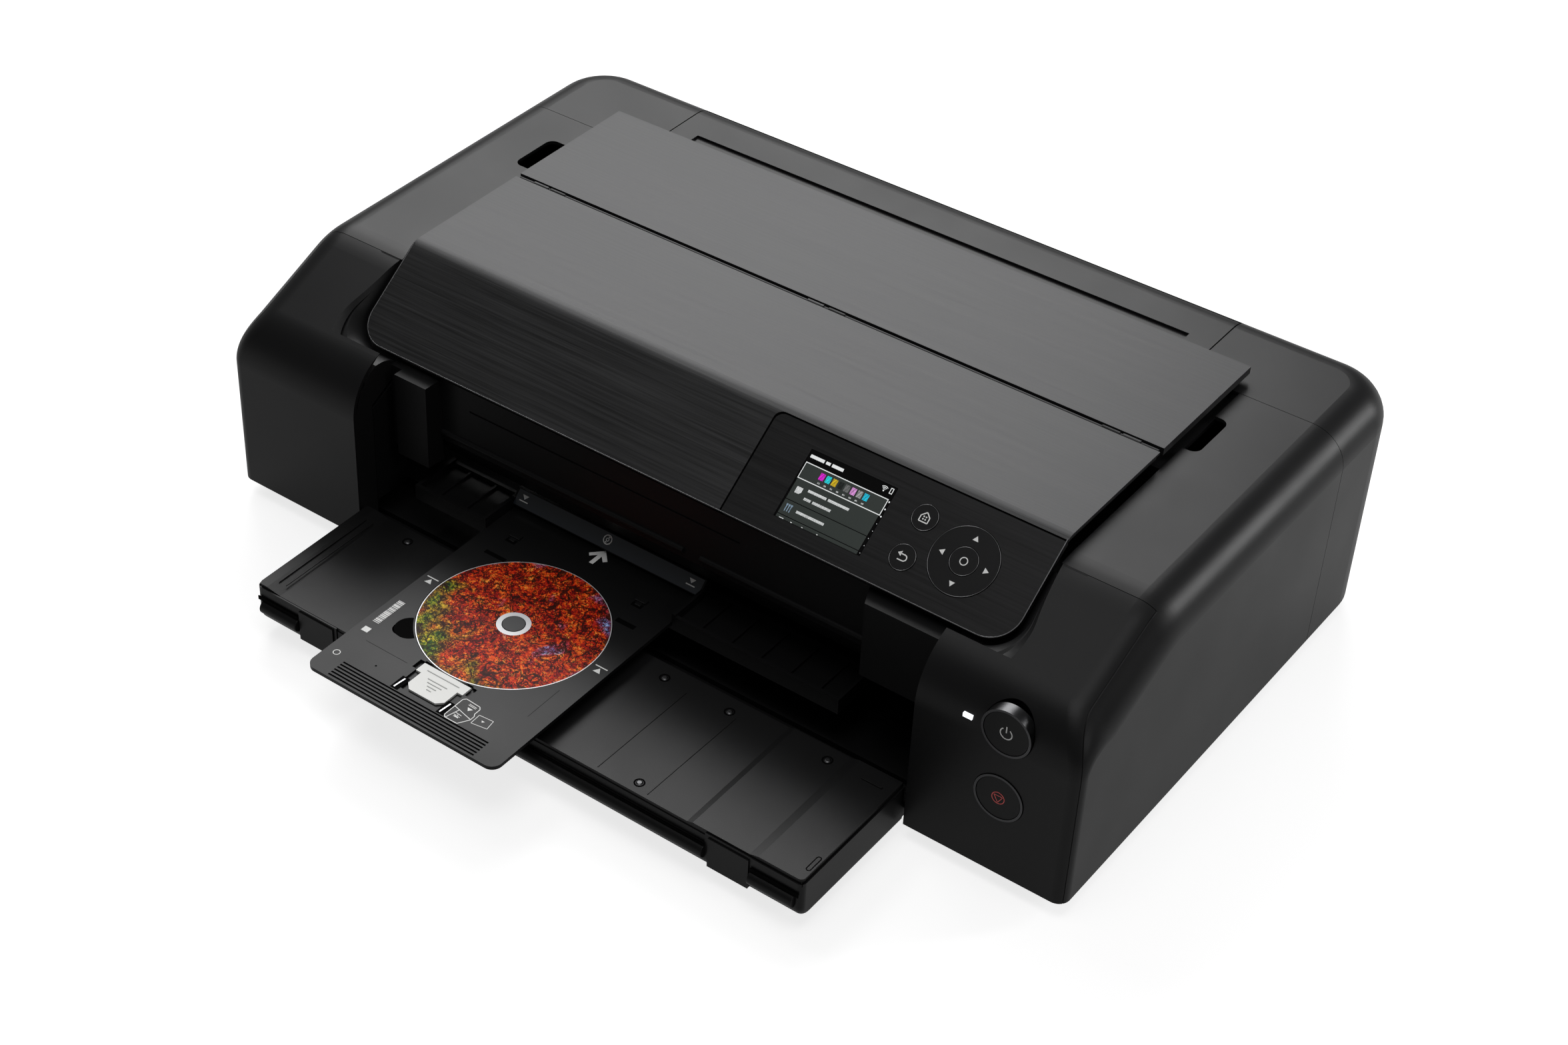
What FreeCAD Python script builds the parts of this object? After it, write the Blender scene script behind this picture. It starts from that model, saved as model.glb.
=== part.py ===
import FreeCAD, Part
import math
import os
import Sketcher
from FreeCAD import Vector, Placement, Rotation

# Disc label printer: a desktop ink printer with a lowered guide and a tray that carries a printable disc.
# Origin: middle of the standing face's bounding box. +X right, +Y back, +Z up, millimetres.

doc = FreeCAD.newDocument("disc_label_printer")
sheet = doc.addObject("Spreadsheet::Sheet", "Sizes")


class Size:
    """A length with its value and the same sum written as a sheet expression."""

    def __init__(self, value, text=None):
        self.value = float(value)
        self.text = text or repr(float(value))

    def __add__(self, other):
        other = as_size(other)
        return Size(self.value + other.value, f"({self.text} + {other.text})")

    def __sub__(self, other):
        other = as_size(other)
        return Size(self.value - other.value, f"({self.text} - {other.text})")

    def __mul__(self, other):
        other = as_size(other)
        return Size(self.value * other.value, f"({self.text} * {other.text})")

    def __truediv__(self, other):
        other = as_size(other)
        return Size(self.value / other.value, f"({self.text} / {other.text})")

    def __neg__(self):
        return Size(-self.value, f"(-{self.text})")

    def __radd__(self, other):
        return as_size(other) + self

    def __rsub__(self, other):
        return as_size(other) - self

    def __rmul__(self, other):
        return as_size(other) * self


def as_size(value):
    return value if isinstance(value, Size) else Size(value)


row = 0


def dim(alias, value):
    """Writes one driving dimension into the sheet and returns it."""
    global row
    row += 1
    sheet.set(f"A{row}", alias)
    sheet.set(f"B{row}", str(value))
    sheet.setAlias(f"B{row}", alias)
    return Size(value, f"Sizes.{alias}")


# ---------------------------------------------------------------- driving dimensions
body_width = dim("body_width", 639)
body_depth = dim("body_depth", 379)
body_lift = dim("body_lift", 12)
deck_height = dim("deck_height", 170)
wall = dim("wall", 2.5)
seam = dim("seam", 0.4)
shoulder_radius = dim("shoulder_radius", 24)
corner_radius = dim("corner_radius", 40)

deck_blend_radius = dim("deck_blend_radius", 60)
front_corner_radius = dim("front_corner_radius", 8)
scoop_reach = dim("scoop_reach", 12)
scoop_depth = dim("scoop_depth", 9)
scoop_width = dim("scoop_width", 17)
notch_setback = dim("notch_setback", 244)
notch_length = dim("notch_length", 40)
left_notch_depth = dim("left_notch_depth", 20)
right_notch_depth = dim("right_notch_depth", 10)
lamp_inset = dim("lamp_inset", 73.6)
lamp_drop = dim("lamp_drop", 16.3)
lamp_length = dim("lamp_length", 5.8)
lamp_height = dim("lamp_height", 2.6)

cover_hinge_inset = dim("cover_hinge_inset", 5.5)
inlet_inset = dim("inlet_inset", 57.5)
inlet_z = dim("inlet_z", 42)
inlet_width = dim("inlet_width", 20)
inlet_height = dim("inlet_height", 14)
port_inset = dim("port_inset", 69.5)
port_z = dim("port_z", 46)
port_width = dim("port_width", 44)
port_height = dim("port_height", 22)
pan_wall_height = dim("pan_wall_height", 20)
foot_radius = dim("foot_radius", 11)
foot_inset = dim("foot_inset", 57.5)
foot_setback = dim("foot_setback", 40)
foot_back = dim("foot_back", 50)
inlet_length = dim("inlet_length", 34)
supply_left = dim("supply_left", 50)
supply_side_gap = dim("supply_side_gap", 12)
supply_motor_gap = dim("supply_motor_gap", 9)
board_left = dim("board_left", 46)
board_right = dim("board_right", 66)
board_height = dim("board_height", 96)
hinge_drop = dim("hinge_drop", 1.9)
knuckle_length = dim("knuckle_length", 12)
out_pin_radius = dim("out_pin_radius", 3)
lid_bend_radius = dim("lid_bend_radius", 16)
liner_inset = dim("liner_inset", 1.2)
panel_top = dim("panel_top", 3)
panel_gap = dim("panel_gap", 1.2)
home_inset = dim("home_inset", 82)
home_drop = dim("home_drop", 24.5)
back_drop = dim("back_drop", 51)
ring_inset = dim("ring_inset", 48)
ring_drop = dim("ring_drop", 38)
key_proud = dim("key_proud", 0.3)
ring_depth = dim("ring_depth", 7)

pod_width = dim("pod_width", 107.5)
pod_slope_drop = dim("pod_slope_drop", 38)
pod_slope_run = dim("pod_slope_run", 88)
pod_wall_depth = dim("pod_wall_depth", 17.5)
pod_bend_radius = dim("pod_bend_radius", 40)

deck_strip = dim("deck_strip", 75.5)
lid_rise = dim("lid_rise", 9.5)
lid_thickness = dim("lid_thickness", 5)
lid_skin = dim("lid_skin", 1.6)
lid_nose_setback = dim("lid_nose_setback", 39.5)
lid_slope_run = dim("lid_slope_run", 59)
lid_slope_drop = dim("lid_slope_drop", 42.9)
lid_flat_depth = dim("lid_flat_depth", 101.5)
lid_corner_radius = dim("lid_corner_radius", 20)
hinge_groove = dim("hinge_groove", 4.6)
hinge_rod_radius = dim("hinge_rod_radius", 1.2)
rear_plate_depth = dim("rear_plate_depth", 106)
lid_clearance = dim("lid_clearance", 2.5)

panel_width = dim("panel_width", 198)
display_width = dim("display_width", 61)
display_height = dim("display_height", 45.7)
display_inset = dim("display_inset", 166.6)
display_drop = dim("display_drop", 15.4)
small_key_radius = dim("small_key_radius", 8.2)
ring_key_radius = dim("ring_key_radius", 21.5)
select_key_radius = dim("select_key_radius", 8.8)
key_gap = dim("key_gap", 0.35)
key_travel = dim("key_travel", 0.8)

button_radius = dim("button_radius", 14.2)
button_ring_radius = dim("button_ring_radius", 16)
button_inset = dim("button_inset", 48.5)
power_drop = dim("power_drop", 14.7)
button_pitch = dim("button_pitch", 48.5)
button_travel = dim("button_travel", 1)

shell_seam_depth = dim("shell_seam_depth", 294)
cover_side_gap = dim("cover_side_gap", 2.5)
cover_start = dim("cover_start", 312)
cover_thickness = dim("cover_thickness", 3.5)
cover_lap = dim("cover_lap", 19)
cover_swing_gap = dim("cover_swing_gap", 3.8)
cover_hinge_rise = dim("cover_hinge_rise", 3)
cover_gap = dim("cover_gap", 0.9)
strip_inset = dim("strip_inset", 18)
strip_width = dim("strip_width", 14.5)
groove_setback = dim("groove_setback", 15)

tray_reach = dim("tray_reach", 141)
tray_length = dim("tray_length", 237)
tray_width = dim("tray_width", 148)
tray_thickness = dim("tray_thickness", 2.6)
tray_top = dim("tray_top", 47)
tray_center = dim("tray_center", -52)
disc_radius = dim("disc_radius", 60)
disc_thickness = dim("disc_thickness", 1.2)
disc_hole_radius = dim("disc_hole_radius", 7.5)
disc_setback = dim("disc_setback", 106)
tray_side_gap = dim("tray_side_gap", 0.5)

out_side_gap = dim("out_side_gap", 3)
out_reach = dim("out_reach", 98)
out_bottom = dim("out_bottom", 9)
out_height = dim("out_height", 31)
extension_drop = dim("extension_drop", 11)
out_hinge_depth = dim("out_hinge_depth", 9)

guide_left_gap = dim("guide_left_gap", 26)
guide_right_gap = dim("guide_right_gap", 66)
guide_front = dim("guide_front", 26)
guide_depth = dim("guide_depth", 38)
guide_lip_height = dim("guide_lip_height", 11)
mouth_face_depth = dim("mouth_face_depth", 44)

tray_corner = dim("tray_corner", 7)
recess_floor = dim("recess_floor", 1.3)
recess_gap = dim("recess_gap", 0.5)
groove_pitch = dim("groove_pitch", 2.6)
groove_width = dim("groove_width", 1.3)
groove_depth = dim("groove_depth", 0.6)
finger_hole_radius = dim("finger_hole_radius", 6)
adapter_width = dim("adapter_width", 36.5)
adapter_length = dim("adapter_length", 23.5)
guide_wall = dim("guide_wall", 2.5)
guide_wall_rise = dim("guide_wall_rise", 7)
shelf_height = dim("shelf_height", 48)
bridge_depth = dim("bridge_depth", 52.5)
bridge_length = dim("bridge_length", 14)
bridge_rise = dim("bridge_rise", 8)
bridge_run = dim("bridge_run", 8)
mouth_bridge_gap = dim("mouth_bridge_gap", 3)
label_margin = dim("label_margin", 0.4)
label_thickness = dim("label_thickness", 0.3)
guide_channel_end = dim("guide_channel_end", 97)
out_round = dim("out_round", 9)
grip_inset = dim("grip_inset", 65)
grip_width = dim("grip_width", 28.5)
extension_inset = dim("extension_inset", 68)
extension_back_gap = dim("extension_back_gap", 6.4)
block_depth = dim("block_depth", 30)
left_block_reach = dim("left_block_reach", 35)
left_block_slant = dim("left_block_slant", 0.5)
left_block_recess = dim("left_block_recess", 9)
block_recess_depth = dim("block_recess_depth", 7)
right_block_reach = dim("right_block_reach", 56)
right_block_slant = dim("right_block_slant", 6)
mouth_drop = dim("mouth_drop", 39)
mouth_bar_drop = dim("mouth_bar_drop", 41)
mouth_bar_radius = dim("mouth_bar_radius", 2.2)
mouth_sheet_run = dim("mouth_sheet_run", 16)
bar_split = dim("bar_split", 17.2)
bar_gap = dim("bar_gap", 12.8)
mouth_edge_drop = dim("mouth_edge_drop", 47)

platen_depth = dim("platen_depth", 150)
platen_length = dim("platen_length", 36)
feed_depth = dim("feed_depth", 208)
feed_radius = dim("feed_radius", 9)
journal_radius = dim("journal_radius", 4)
exit_depth = dim("exit_depth", 108)
exit_radius = dim("exit_radius", 6.5)
exit_core_radius = dim("exit_core_radius", 3)
pinch_radius = dim("pinch_radius", 3.7)
pinch_core_radius = dim("pinch_core_radius", 1.5)
path_gap = dim("path_gap", 1.2)
platen_margin = dim("platen_margin", 39.5)
side_room = dim("side_room", 29.5)
chassis_depth = dim("chassis_depth", 24)
chassis_length = dim("chassis_length", 226)
beam_margin = dim("beam_margin", 28.5)

carriage_width = dim("carriage_width", 116)
carriage_front = dim("carriage_front", 129)
park_gap = dim("park_gap", 2)
carriage_bottom = dim("carriage_bottom", 52)
carriage_height = dim("carriage_height", 46)
head_length = dim("head_length", 42)
tank_count = 8
tank_width = dim("tank_width", 12.6)
tank_gap = dim("tank_gap", 0.6)
tank_length = dim("tank_length", 68)
tank_height = dim("tank_height", 62)
rail_radius = dim("rail_radius", 5)
rail_depth = dim("rail_depth", 228)
rail_height = dim("rail_height", 75)
pulley_radius = dim("pulley_radius", 8)
axle_radius = dim("axle_radius", 2)
pulley_inset = dim("pulley_inset", 20)
pulley_rise = dim("pulley_rise", 37)
belt_width = dim("belt_width", 6)
belt_thickness = dim("belt_thickness", 1)
motor_radius = dim("motor_radius", 17)
motor_length = dim("motor_length", 36)
running_gap = dim("running_gap", 0.06)
steel = dim("steel", 1.2)
edge_guide_inset = dim("edge_guide_inset", 41.5)
edge_guide_height = dim("edge_guide_height", 11)

# ---------------------------------------------------------------- places worked out from them
half = body_width / 2
front = (tray_reach - body_depth) / 2
back = front + body_depth
lid_top = deck_height + lid_rise
lid_half = half - deck_strip
nose_y = front + lid_nose_setback
bend_y = nose_y + lid_slope_run
lid_rear_y = bend_y + lid_flat_depth
nose_z = lid_top - lid_slope_drop
pod_inner = half - pod_width
pod_bend_height = deck_height - pod_slope_drop
power_height = pod_bend_height - power_drop
stop_height = power_height - button_pitch
button_x = half - button_inset
lamp_x = half - lamp_inset
lamp_z = pod_bend_height - lamp_drop
foot_x = half - foot_inset
inlet_x = half - inlet_inset
port_x = port_inset - half
panel_left = lid_half - panel_width
display_left = lid_half - display_inset
home_x = lid_half - home_inset
ring_x = lid_half - ring_inset
cover_half = pod_inner - cover_side_gap
out_half = pod_inner - out_side_gap
grip_inner = out_half - grip_inset
extension_half = out_half - extension_inset
guide_left = pod_inner - guide_left_gap
guide_right = pod_inner - guide_right_gap
mouth_top = deck_height - mouth_drop
mouth_bar_height = mouth_top - mouth_bar_drop
mouth_edge_height = mouth_top - mouth_edge_drop
sheet_width = (pod_inner - platen_margin) * 2
chassis_half = half - side_room
pulley_x = chassis_half - pulley_inset
pulley_height = rail_height + pulley_rise
frame_top = pulley_height + beam_margin
carriage_park = chassis_half - park_gap - carriage_width / 2
edge_guide_x = cover_half - edge_guide_inset
slope_angle = math.degrees(math.atan2(lid_slope_drop.value, lid_slope_run.value))
shell_seam_y = front + shell_seam_depth
deck_inner = lid_half + lid_clearance


out_hinge_z = out_bottom + out_height / 3
tray_low = tray_top - tray_thickness
path_low = tray_low - path_gap
path_high = tray_top + path_gap + 2

# ---------------------------------------------------------------- modelling helpers
def bind(item, prop, size):
    item.setExpression(prop, as_size(size).text)


def box(name, x, y, z):
    """A block between two x, two y and two z places."""
    item = doc.addObject("Part::Box", name)
    for prop, axis, span in (("Length", "x", x), ("Width", "y", y), ("Height", "z", z)):
        low = as_size(span[0])
        bind(item, prop, as_size(span[1]) - low)
        bind(item, f"Placement.Base.{axis}", low)
    return item


AXES = {"x": Rotation(Vector(0, 1, 0), 90), "y": Rotation(Vector(1, 0, 0), -90), "z": Rotation()}


def rod(name, axis, start, length, radius):
    """A round bar along x, y or z that begins at start."""
    item = doc.addObject("Part::Cylinder", name)
    bind(item, "Radius", radius)
    bind(item, "Height", length)
    item.Placement = Placement(Vector(), AXES[axis])
    for letter, place in zip("xyz", start):
        bind(item, f"Placement.Base.{letter}", place)
    return item


def fuse(name, items):
    item = doc.addObject("Part::MultiFuse", name)
    item.Shapes = items
    return item


def group(name, items):
    """Separate solids that share one name."""
    item = doc.addObject("Part::Compound", name)
    item.Links = items
    return item


def cut(name, base, tools):
    item = doc.addObject("Part::Cut", name)
    item.Base = base
    item.Tool = tools[0] if len(tools) == 1 else fuse(name + "_tools", tools)
    return item


def sketch(body, role, points, offset=0):
    """A closed outline on one of the body's own planes, every corner bound to its sizes."""
    item = body.newObject("Sketcher::SketchObject", "outline")
    plane = next(f for f in body.Origin.OriginFeatures if f.Role == role)
    item.AttachmentSupport = [(plane, "")]
    item.MapMode = "FlatFace"
    bind(item, "AttachmentOffset.Base.z", offset)
    corners = [(as_size(u), as_size(v)) for u, v in points]
    count = len(corners)
    for i, (u, v) in enumerate(corners):
        far = corners[(i + 1) % count]
        item.addGeometry(Part.LineSegment(Vector(u.value, v.value, 0), Vector(far[0].value, far[1].value, 0)))
    for i, (u, v) in enumerate(corners):
        item.addConstraint(Sketcher.Constraint("Coincident", i, 2, (i + 1) % count, 1))
    for i, (u, v) in enumerate(corners):
        across = item.addConstraint(Sketcher.Constraint("DistanceX", -1, 1, i, 1, u.value))
        item.setExpression(f"Constraints[{across}]", u.text)
        up = item.addConstraint(Sketcher.Constraint("DistanceY", -1, 1, i, 1, v.value))
        item.setExpression(f"Constraints[{up}]", v.text)
    return item


def circle(body, role, center, radius, offset=0):
    """A circle on one of the body's own planes."""
    item = body.newObject("Sketcher::SketchObject", "circle")
    plane = next(f for f in body.Origin.OriginFeatures if f.Role == role)
    item.AttachmentSupport = [(plane, "")]
    item.MapMode = "FlatFace"
    bind(item, "AttachmentOffset.Base.z", offset)
    u, v, r = (as_size(value) for value in (*center, radius))
    item.addGeometry(Part.Circle(Vector(u.value, v.value, 0), Vector(0, 0, 1), r.value))
    for kind, size in (("DistanceX", u), ("DistanceY", v)):
        index = item.addConstraint(Sketcher.Constraint(kind, -1, 1, 0, 3, size.value))
        item.setExpression(f"Constraints[{index}]", size.text)
    index = item.addConstraint(Sketcher.Constraint("Radius", 0, r.value))
    item.setExpression(f"Constraints[{index}]", r.text)
    return item


def new_body(name):
    body = doc.addObject("PartDesign::Body", name)
    body.Label = name
    return body


def pad(body, outline, length, reverse=False):
    item = body.newObject("PartDesign::Pad", "pad")
    item.Profile = outline
    bind(item, "Length", length)
    item.Reversed = reverse
    outline.Visibility = False
    return item


def pocket(body, outline, length, reverse=False):
    item = body.newObject("PartDesign::Pocket", "pocket")
    item.Profile = outline
    bind(item, "Length", length)
    item.Reversed = reverse
    return item


def fillet(body, radius, wanted):
    """Rounds the edges of the body's last feature that wanted() picks."""
    doc.recompute()
    base = body.Tip
    names = [f"Edge{i + 1}" for i, edge in enumerate(base.Shape.Edges) if wanted(edge)]
    item = body.newObject("PartDesign::Fillet", "round")
    item.Base = (base, names)
    bind(item, "Radius", radius)
    return item


def chamfer(body, size, wanted):
    """Bevels the edges of the body's last feature that wanted() picks."""
    doc.recompute()
    base = body.Tip
    names = [f"Edge{i + 1}" for i, edge in enumerate(base.Shape.Edges) if wanted(edge)]
    item = body.newObject("PartDesign::Chamfer", "bevel")
    item.Base = (base, names)
    bind(item, "Size", size)
    return item


INNER_BEVEL = 0.59


def middle(edge):
    return edge.valueAt((edge.FirstParameter + edge.LastParameter) / 2)


def runs(edge, axis):
    """True for a straight edge along the given axis."""
    if edge.Curve.TypeId != "Part::GeomLine":
        return False
    return abs(abs(edge.Curve.Direction.dot(axis)) - 1) < 1e-6


def close(value, size, slack=0.05):
    return abs(value - as_size(size).value) < slack


X, Z = Vector(1, 0, 0), Vector(0, 0, 1)


parts = []


def keep(item, label):
    """Marks an object as one finished piece of the printer."""
    item.Label = label
    parts.append(item)
    return item


def common(name, first, second):
    item = doc.addObject("Part::Common", name)
    item.Base = first
    item.Tool = second
    return item


def prism(name, points, x):
    """An outline in the YZ plane drawn out between two x places."""
    body = new_body(name)
    pad(body, sketch(body, "YZ_Plane", points, x[0]), as_size(x[1]) - x[0])
    return body


def plan(name, points, z):
    """An outline in the XY plane drawn up between two z places."""
    body = new_body(name)
    pad(body, sketch(body, "XY_Plane", points, z[0]), as_size(z[1]) - z[0])
    return body


def rectangle(x, y):
    return [(x[0], y[0]), (x[1], y[0]), (x[1], y[1]), (x[0], y[1])]


# ---------------------------------------------------------------- casing: pods and side shells
slope_rise = deck_height - pod_bend_height
slope_tan = slope_rise.value / pod_slope_run.value
slope_cos = math.cos(math.atan(slope_tan))


def slope_line(inset):
    """Where the front slope, moved inwards by inset, meets the front plane and the deck plane."""
    drop = inset * (1 / slope_cos)
    foot = pod_bend_height - drop + inset * slope_tan
    top_y = front + (deck_height - inset - pod_bend_height + drop) * (1 / slope_tan)
    return foot, top_y


def profile_form(name, inset, span):
    """The casing's bent front profile, moved inwards by inset and drawn out between two x places."""
    inset = as_size(inset)
    foot, top_y = slope_line(inset)
    below = body_lift - inset * 2
    rear = shell_seam_y + inset * 2
    body = prism(name, [(front + inset, below), (front + inset, foot), (top_y, deck_height - inset),
                        (rear, deck_height - inset), (rear, below)], span)
    at_bend = (front + inset).value, foot.value
    at_deck = top_y.value, (deck_height - inset).value
    for radius, (y, z) in ((pod_bend_radius - inset, at_bend), (deck_blend_radius - inset, at_deck)):
        fillet(body, radius, lambda e: runs(e, X) and abs(middle(e).y - y) < 0.05 and abs(middle(e).z - z) < 0.05)
    return body


def side_form(name, side, inset):
    """Rounded solid form of one side of the casing, moved inwards by inset."""
    inset = as_size(inset)
    foot = slope_line(inset)[0]
    below = body_lift - inset * 2
    rear = shell_seam_y + inset * 2
    low, high = pod_inner - inset * 2, half - inset
    body = profile_form(name, inset, (low, high) if side > 0 else (-high, -low))
    doc.recompute()
    bevelled = inset.value > 0
    item = doc.addObject("Part::Chamfer" if bevelled else "Part::Fillet", name + "_softened")
    item.Base = body
    outer_x = (high * side).value
    large, small = (shoulder_radius - inset).value, (front_corner_radius - inset).value
    if bevelled:
        large = small = large * INNER_BEVEL
    picked = []
    for index, edge in enumerate(body.Shape.Edges):
        spot = middle(edge)
        if abs(spot.x - outer_x) > 0.01 or spot.y > rear.value - 0.01 or spot.z < below.value + 0.01:
            continue
        if abs(spot.y - (front + inset).value) < 0.01:
            picked.append((index + 1, small, small))
        elif spot.z < foot.value + 6:
            rising = edge.Vertexes[0].Z < edge.Vertexes[-1].Z
            picked.append((index + 1, small, large) if rising else (index + 1, large, small))
        else:
            picked.append((index + 1, large, large))
    item.Edges = picked
    return item


def slope_place(x, drop, rise):
    """A point given from the middle of the lid's bend: across, down its slope and out of its face."""
    turn = math.radians(slope_angle)
    return Vector(as_size(x).value,
                  bend_y.value - drop * math.cos(turn) - rise * math.sin(turn),
                  lid_top.value - drop * math.sin(turn) + rise * math.cos(turn))


slope_length = math.hypot(lid_slope_run.value, lid_slope_drop.value)


def lid_outline(grow, rise):
    """The lid's sloping part seen square on: rounded lower corners, grown outwards and raised."""
    wide = lid_half.value + grow
    low = slope_length + grow
    radius = lid_corner_radius.value + grow
    high = -scoop_reach.value
    knee = radius * (1 - math.sqrt(0.5))
    left = [slope_place(-wide, high, rise), slope_place(-wide, low - radius, rise)]
    right = [slope_place(wide, low - radius, rise), slope_place(wide, high, rise)]
    foot = [slope_place(radius - wide, low, rise), slope_place(wide - radius, low, rise)]
    corners = [slope_place(knee - wide, low - knee, rise), slope_place(wide - knee, low - knee, rise)]
    edges = [Part.LineSegment(left[0], left[1]).toShape(),
             Part.Arc(left[1], corners[0], foot[0]).toShape(),
             Part.LineSegment(foot[0], foot[1]).toShape(),
             Part.Arc(foot[1], corners[1], right[0]).toShape(),
             Part.LineSegment(right[0], right[1]).toShape(),
             Part.LineSegment(right[1], left[0]).toShape()]
    return Part.Wire(edges)


scoop = doc.addObject("Part::Feature", "scoop_tool")
scoop.Shape = Part.makeLoft([lid_outline(lid_clearance.value, -scoop_depth.value),
                             lid_outline(lid_clearance.value + 1.5, -1.0),
                             lid_outline(lid_clearance.value + 6.5, 6.0),
                             lid_outline(lid_clearance.value + 17, 13.0)], True, False)


def pod(label, side, skin):
    """Front pod cover: bent front plate, wall beside the mouth, bottom lip and the scoop round the lid corner."""
    rear_y = front + pod_slope_run
    ahead = box(label + "_ahead", (-half - 9, half + 9), (front - 5, rear_y), (body_lift - 5, deck_height + 9))
    behind = profile_form(label + "_behind", wall + seam, (-half - 9, half + 9))
    plate = cut(label + "_plate", common(label + "_front", skin, ahead), [behind])
    inner = (pod_inner, pod_inner + wall) if side > 0 else (-pod_inner - wall, -pod_inner)
    wall_piece = prism(label + "_wall", [(front + 1, body_lift + 1), (front + 1, pod_bend_height - 28),
                                         (front + 8, pod_bend_height - 8),
                                         (front + pod_wall_depth, pod_bend_height - 1),
                                         (front + pod_wall_depth, body_lift + 1)], inner)
    reach = deck_inner + scoop_width
    chunk_x = (pod_inner, reach) if side > 0 else (-reach, -pod_inner)
    chunk = prism(label + "_chunk", [(front + 12, pod_bend_height - 26), (front + 12, pod_bend_height - 1),
                                     (rear_y, deck_height - 1), (rear_y, deck_height - 24)], chunk_x)
    lip_end = half - shoulder_radius * 0.75
    lip_x = (pod_inner + 1, lip_end) if side > 0 else (-lip_end, -pod_inner - 1)
    lip = box(label + "_lip", lip_x, (front + 1, front + 16), (body_lift, body_lift + wall))
    whole = fuse(label + "_whole", [plate, wall_piece, chunk, lip])
    tools = [scoop, rod(label + "_tray_bore", "x", (inner[0] - 5, front + out_hinge_depth, out_hinge_z), wall + 10,
                        out_pin_radius + running_gap)]
    if side > 0:
        tools += [rod(label + "_power_bore", "y", (button_x, front - 5, power_height), 30,
                      button_ring_radius + seam),
                  rod(label + "_stop_bore", "y", (button_x, front - 5, stop_height), 30,
                      button_ring_radius + seam),
                  box(label + "_lamp_slot", (lamp_x - lamp_length / 2, lamp_x + lamp_length / 2),
                      (front - 5, front + 30), (lamp_z - lamp_height / 2, lamp_z + lamp_height / 2))]
    return cut(label, whole, tools)


def side_shell(label, side, skin):
    """Moulded side cover: outer wall, deck strip beside the lid and the finger notch."""
    start_y = front + pod_slope_run + seam
    across = (deck_inner, half + 9) if side > 0 else (-half - 9, -deck_inner)
    region = fuse(label + "_region", [profile_form(label + "_under", wall + seam * 2, across),
                                      box(label + "_deck", across, (start_y, shell_seam_y + 9),
                                          (body_lift - 9, deck_height + 9))])
    strip = common(label + "_strip", skin, region)
    middle_y = front + notch_setback
    notch_depth = right_notch_depth if side > 0 else left_notch_depth
    x0 = deck_inner - 2 if side > 0 else -deck_inner - notch_depth
    x1 = deck_inner + notch_depth if side > 0 else -deck_inner + 2
    notch = new_body(label + "_notch")
    pad(notch, sketch(notch, "XY_Plane", rectangle((x0, x1), (middle_y - notch_length / 2,
                                                              middle_y + notch_length / 2)),
                      deck_height - wall - 2), wall + 4)
    far = (x1 if side > 0 else x0).value
    fillet(notch, 6, lambda e: runs(e, Z) and abs(middle(e).x - far) < 0.05)
    return cut(label, strip, [notch])


for word, side in (("left", -1), ("right", 1)):
    outer_form = side_form(word + "_outer_form", side, 0)
    inner_form = side_form(word + "_inner_form", side, wall)
    skin = cut(word + "_skin", outer_form, [inner_form])
    keep(pod(f"{word}_pod_cover", side, skin), f"{word}_pod_cover")
    keep(side_shell(f"{word}_side_shell", side, skin), f"{word}_side_shell")


# ---------------------------------------------------------------- casing: rear, base and feet
def rear_form(name, inset, bevelled=False):
    """Solid form of the rear cover, moved inwards by inset, with rounded or bevelled top edges."""
    inset = as_size(inset)
    edge = half - inset
    start = shell_seam_y + seam - inset * 2
    end = back - inset
    body = plan(name, rectangle((-edge, edge), (start, end)), (body_lift - inset * 2, deck_height - inset))
    top = (deck_height - inset).value
    soften, share = (chamfer, INNER_BEVEL) if bevelled else (fillet, 1)
    fillet(body, corner_radius - inset, lambda e: runs(e, Z) and close(middle(e).y, end))
    soften(body, (shoulder_radius - inset) * share,
           lambda e: close(middle(e).z, top) and middle(e).y > start.value + 0.05)
    return body


cover_y = front + cover_start
cover_low = deck_height - cover_lap
rear_inner_form = rear_form("rear_inner_form", wall, True)
rear_tools = [rear_inner_form,
              box("rear_opening", (-cover_half - cover_gap, cover_half + cover_gap), (cover_y - cover_gap, back + 9),
                  (cover_low - cover_swing_gap, deck_height + 9)),
              box("inlet_hole", (inlet_x - inlet_width / 2, inlet_x + inlet_width / 2), (back - 9, back + 9),
                  (inlet_z - inlet_height / 2, inlet_z + inlet_height / 2)),
              box("port_hole", (port_x - port_width / 2, port_x + port_width / 2), (back - 9, back + 9),
                  (port_z - port_height / 2, port_z + port_height / 2))]
rear_shell = cut("rear_shell", rear_form("rear_outer_form", 0), rear_tools)
keep(rear_shell, "rear_shell")

inside = half - wall - seam
pan_front = front + pod_wall_depth + seam
pan_back = back - wall - seam
pan_top = body_lift + pan_wall_height
pan_outer = plan("pan_outer", rectangle((-inside, inside), (pan_front, pan_back)), (body_lift, pan_top))
fillet(pan_outer, corner_radius - wall, lambda e: runs(e, Z) and close(middle(e).y, pan_back))
pan_inner = plan("pan_inner", rectangle((-inside + wall, inside - wall), (front - 20, pan_back - wall)),
                 (body_lift + wall, pan_top + 9))
fillet(pan_inner, corner_radius - wall * 2, lambda e: runs(e, Z) and close(middle(e).y, pan_back - wall))
ribs = [box(f"pan_rib_{i}", (-inside + 20, inside - 20), (pan_front + 8 + i * 36, pan_front + 10 + i * 36),
            (body_lift + wall - 0.5, body_lift + wall + 4)) for i in range(2)]
keep(fuse("base_pan", [cut("pan_shell", pan_outer, [pan_inner])] + ribs), "base_pan")

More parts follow.
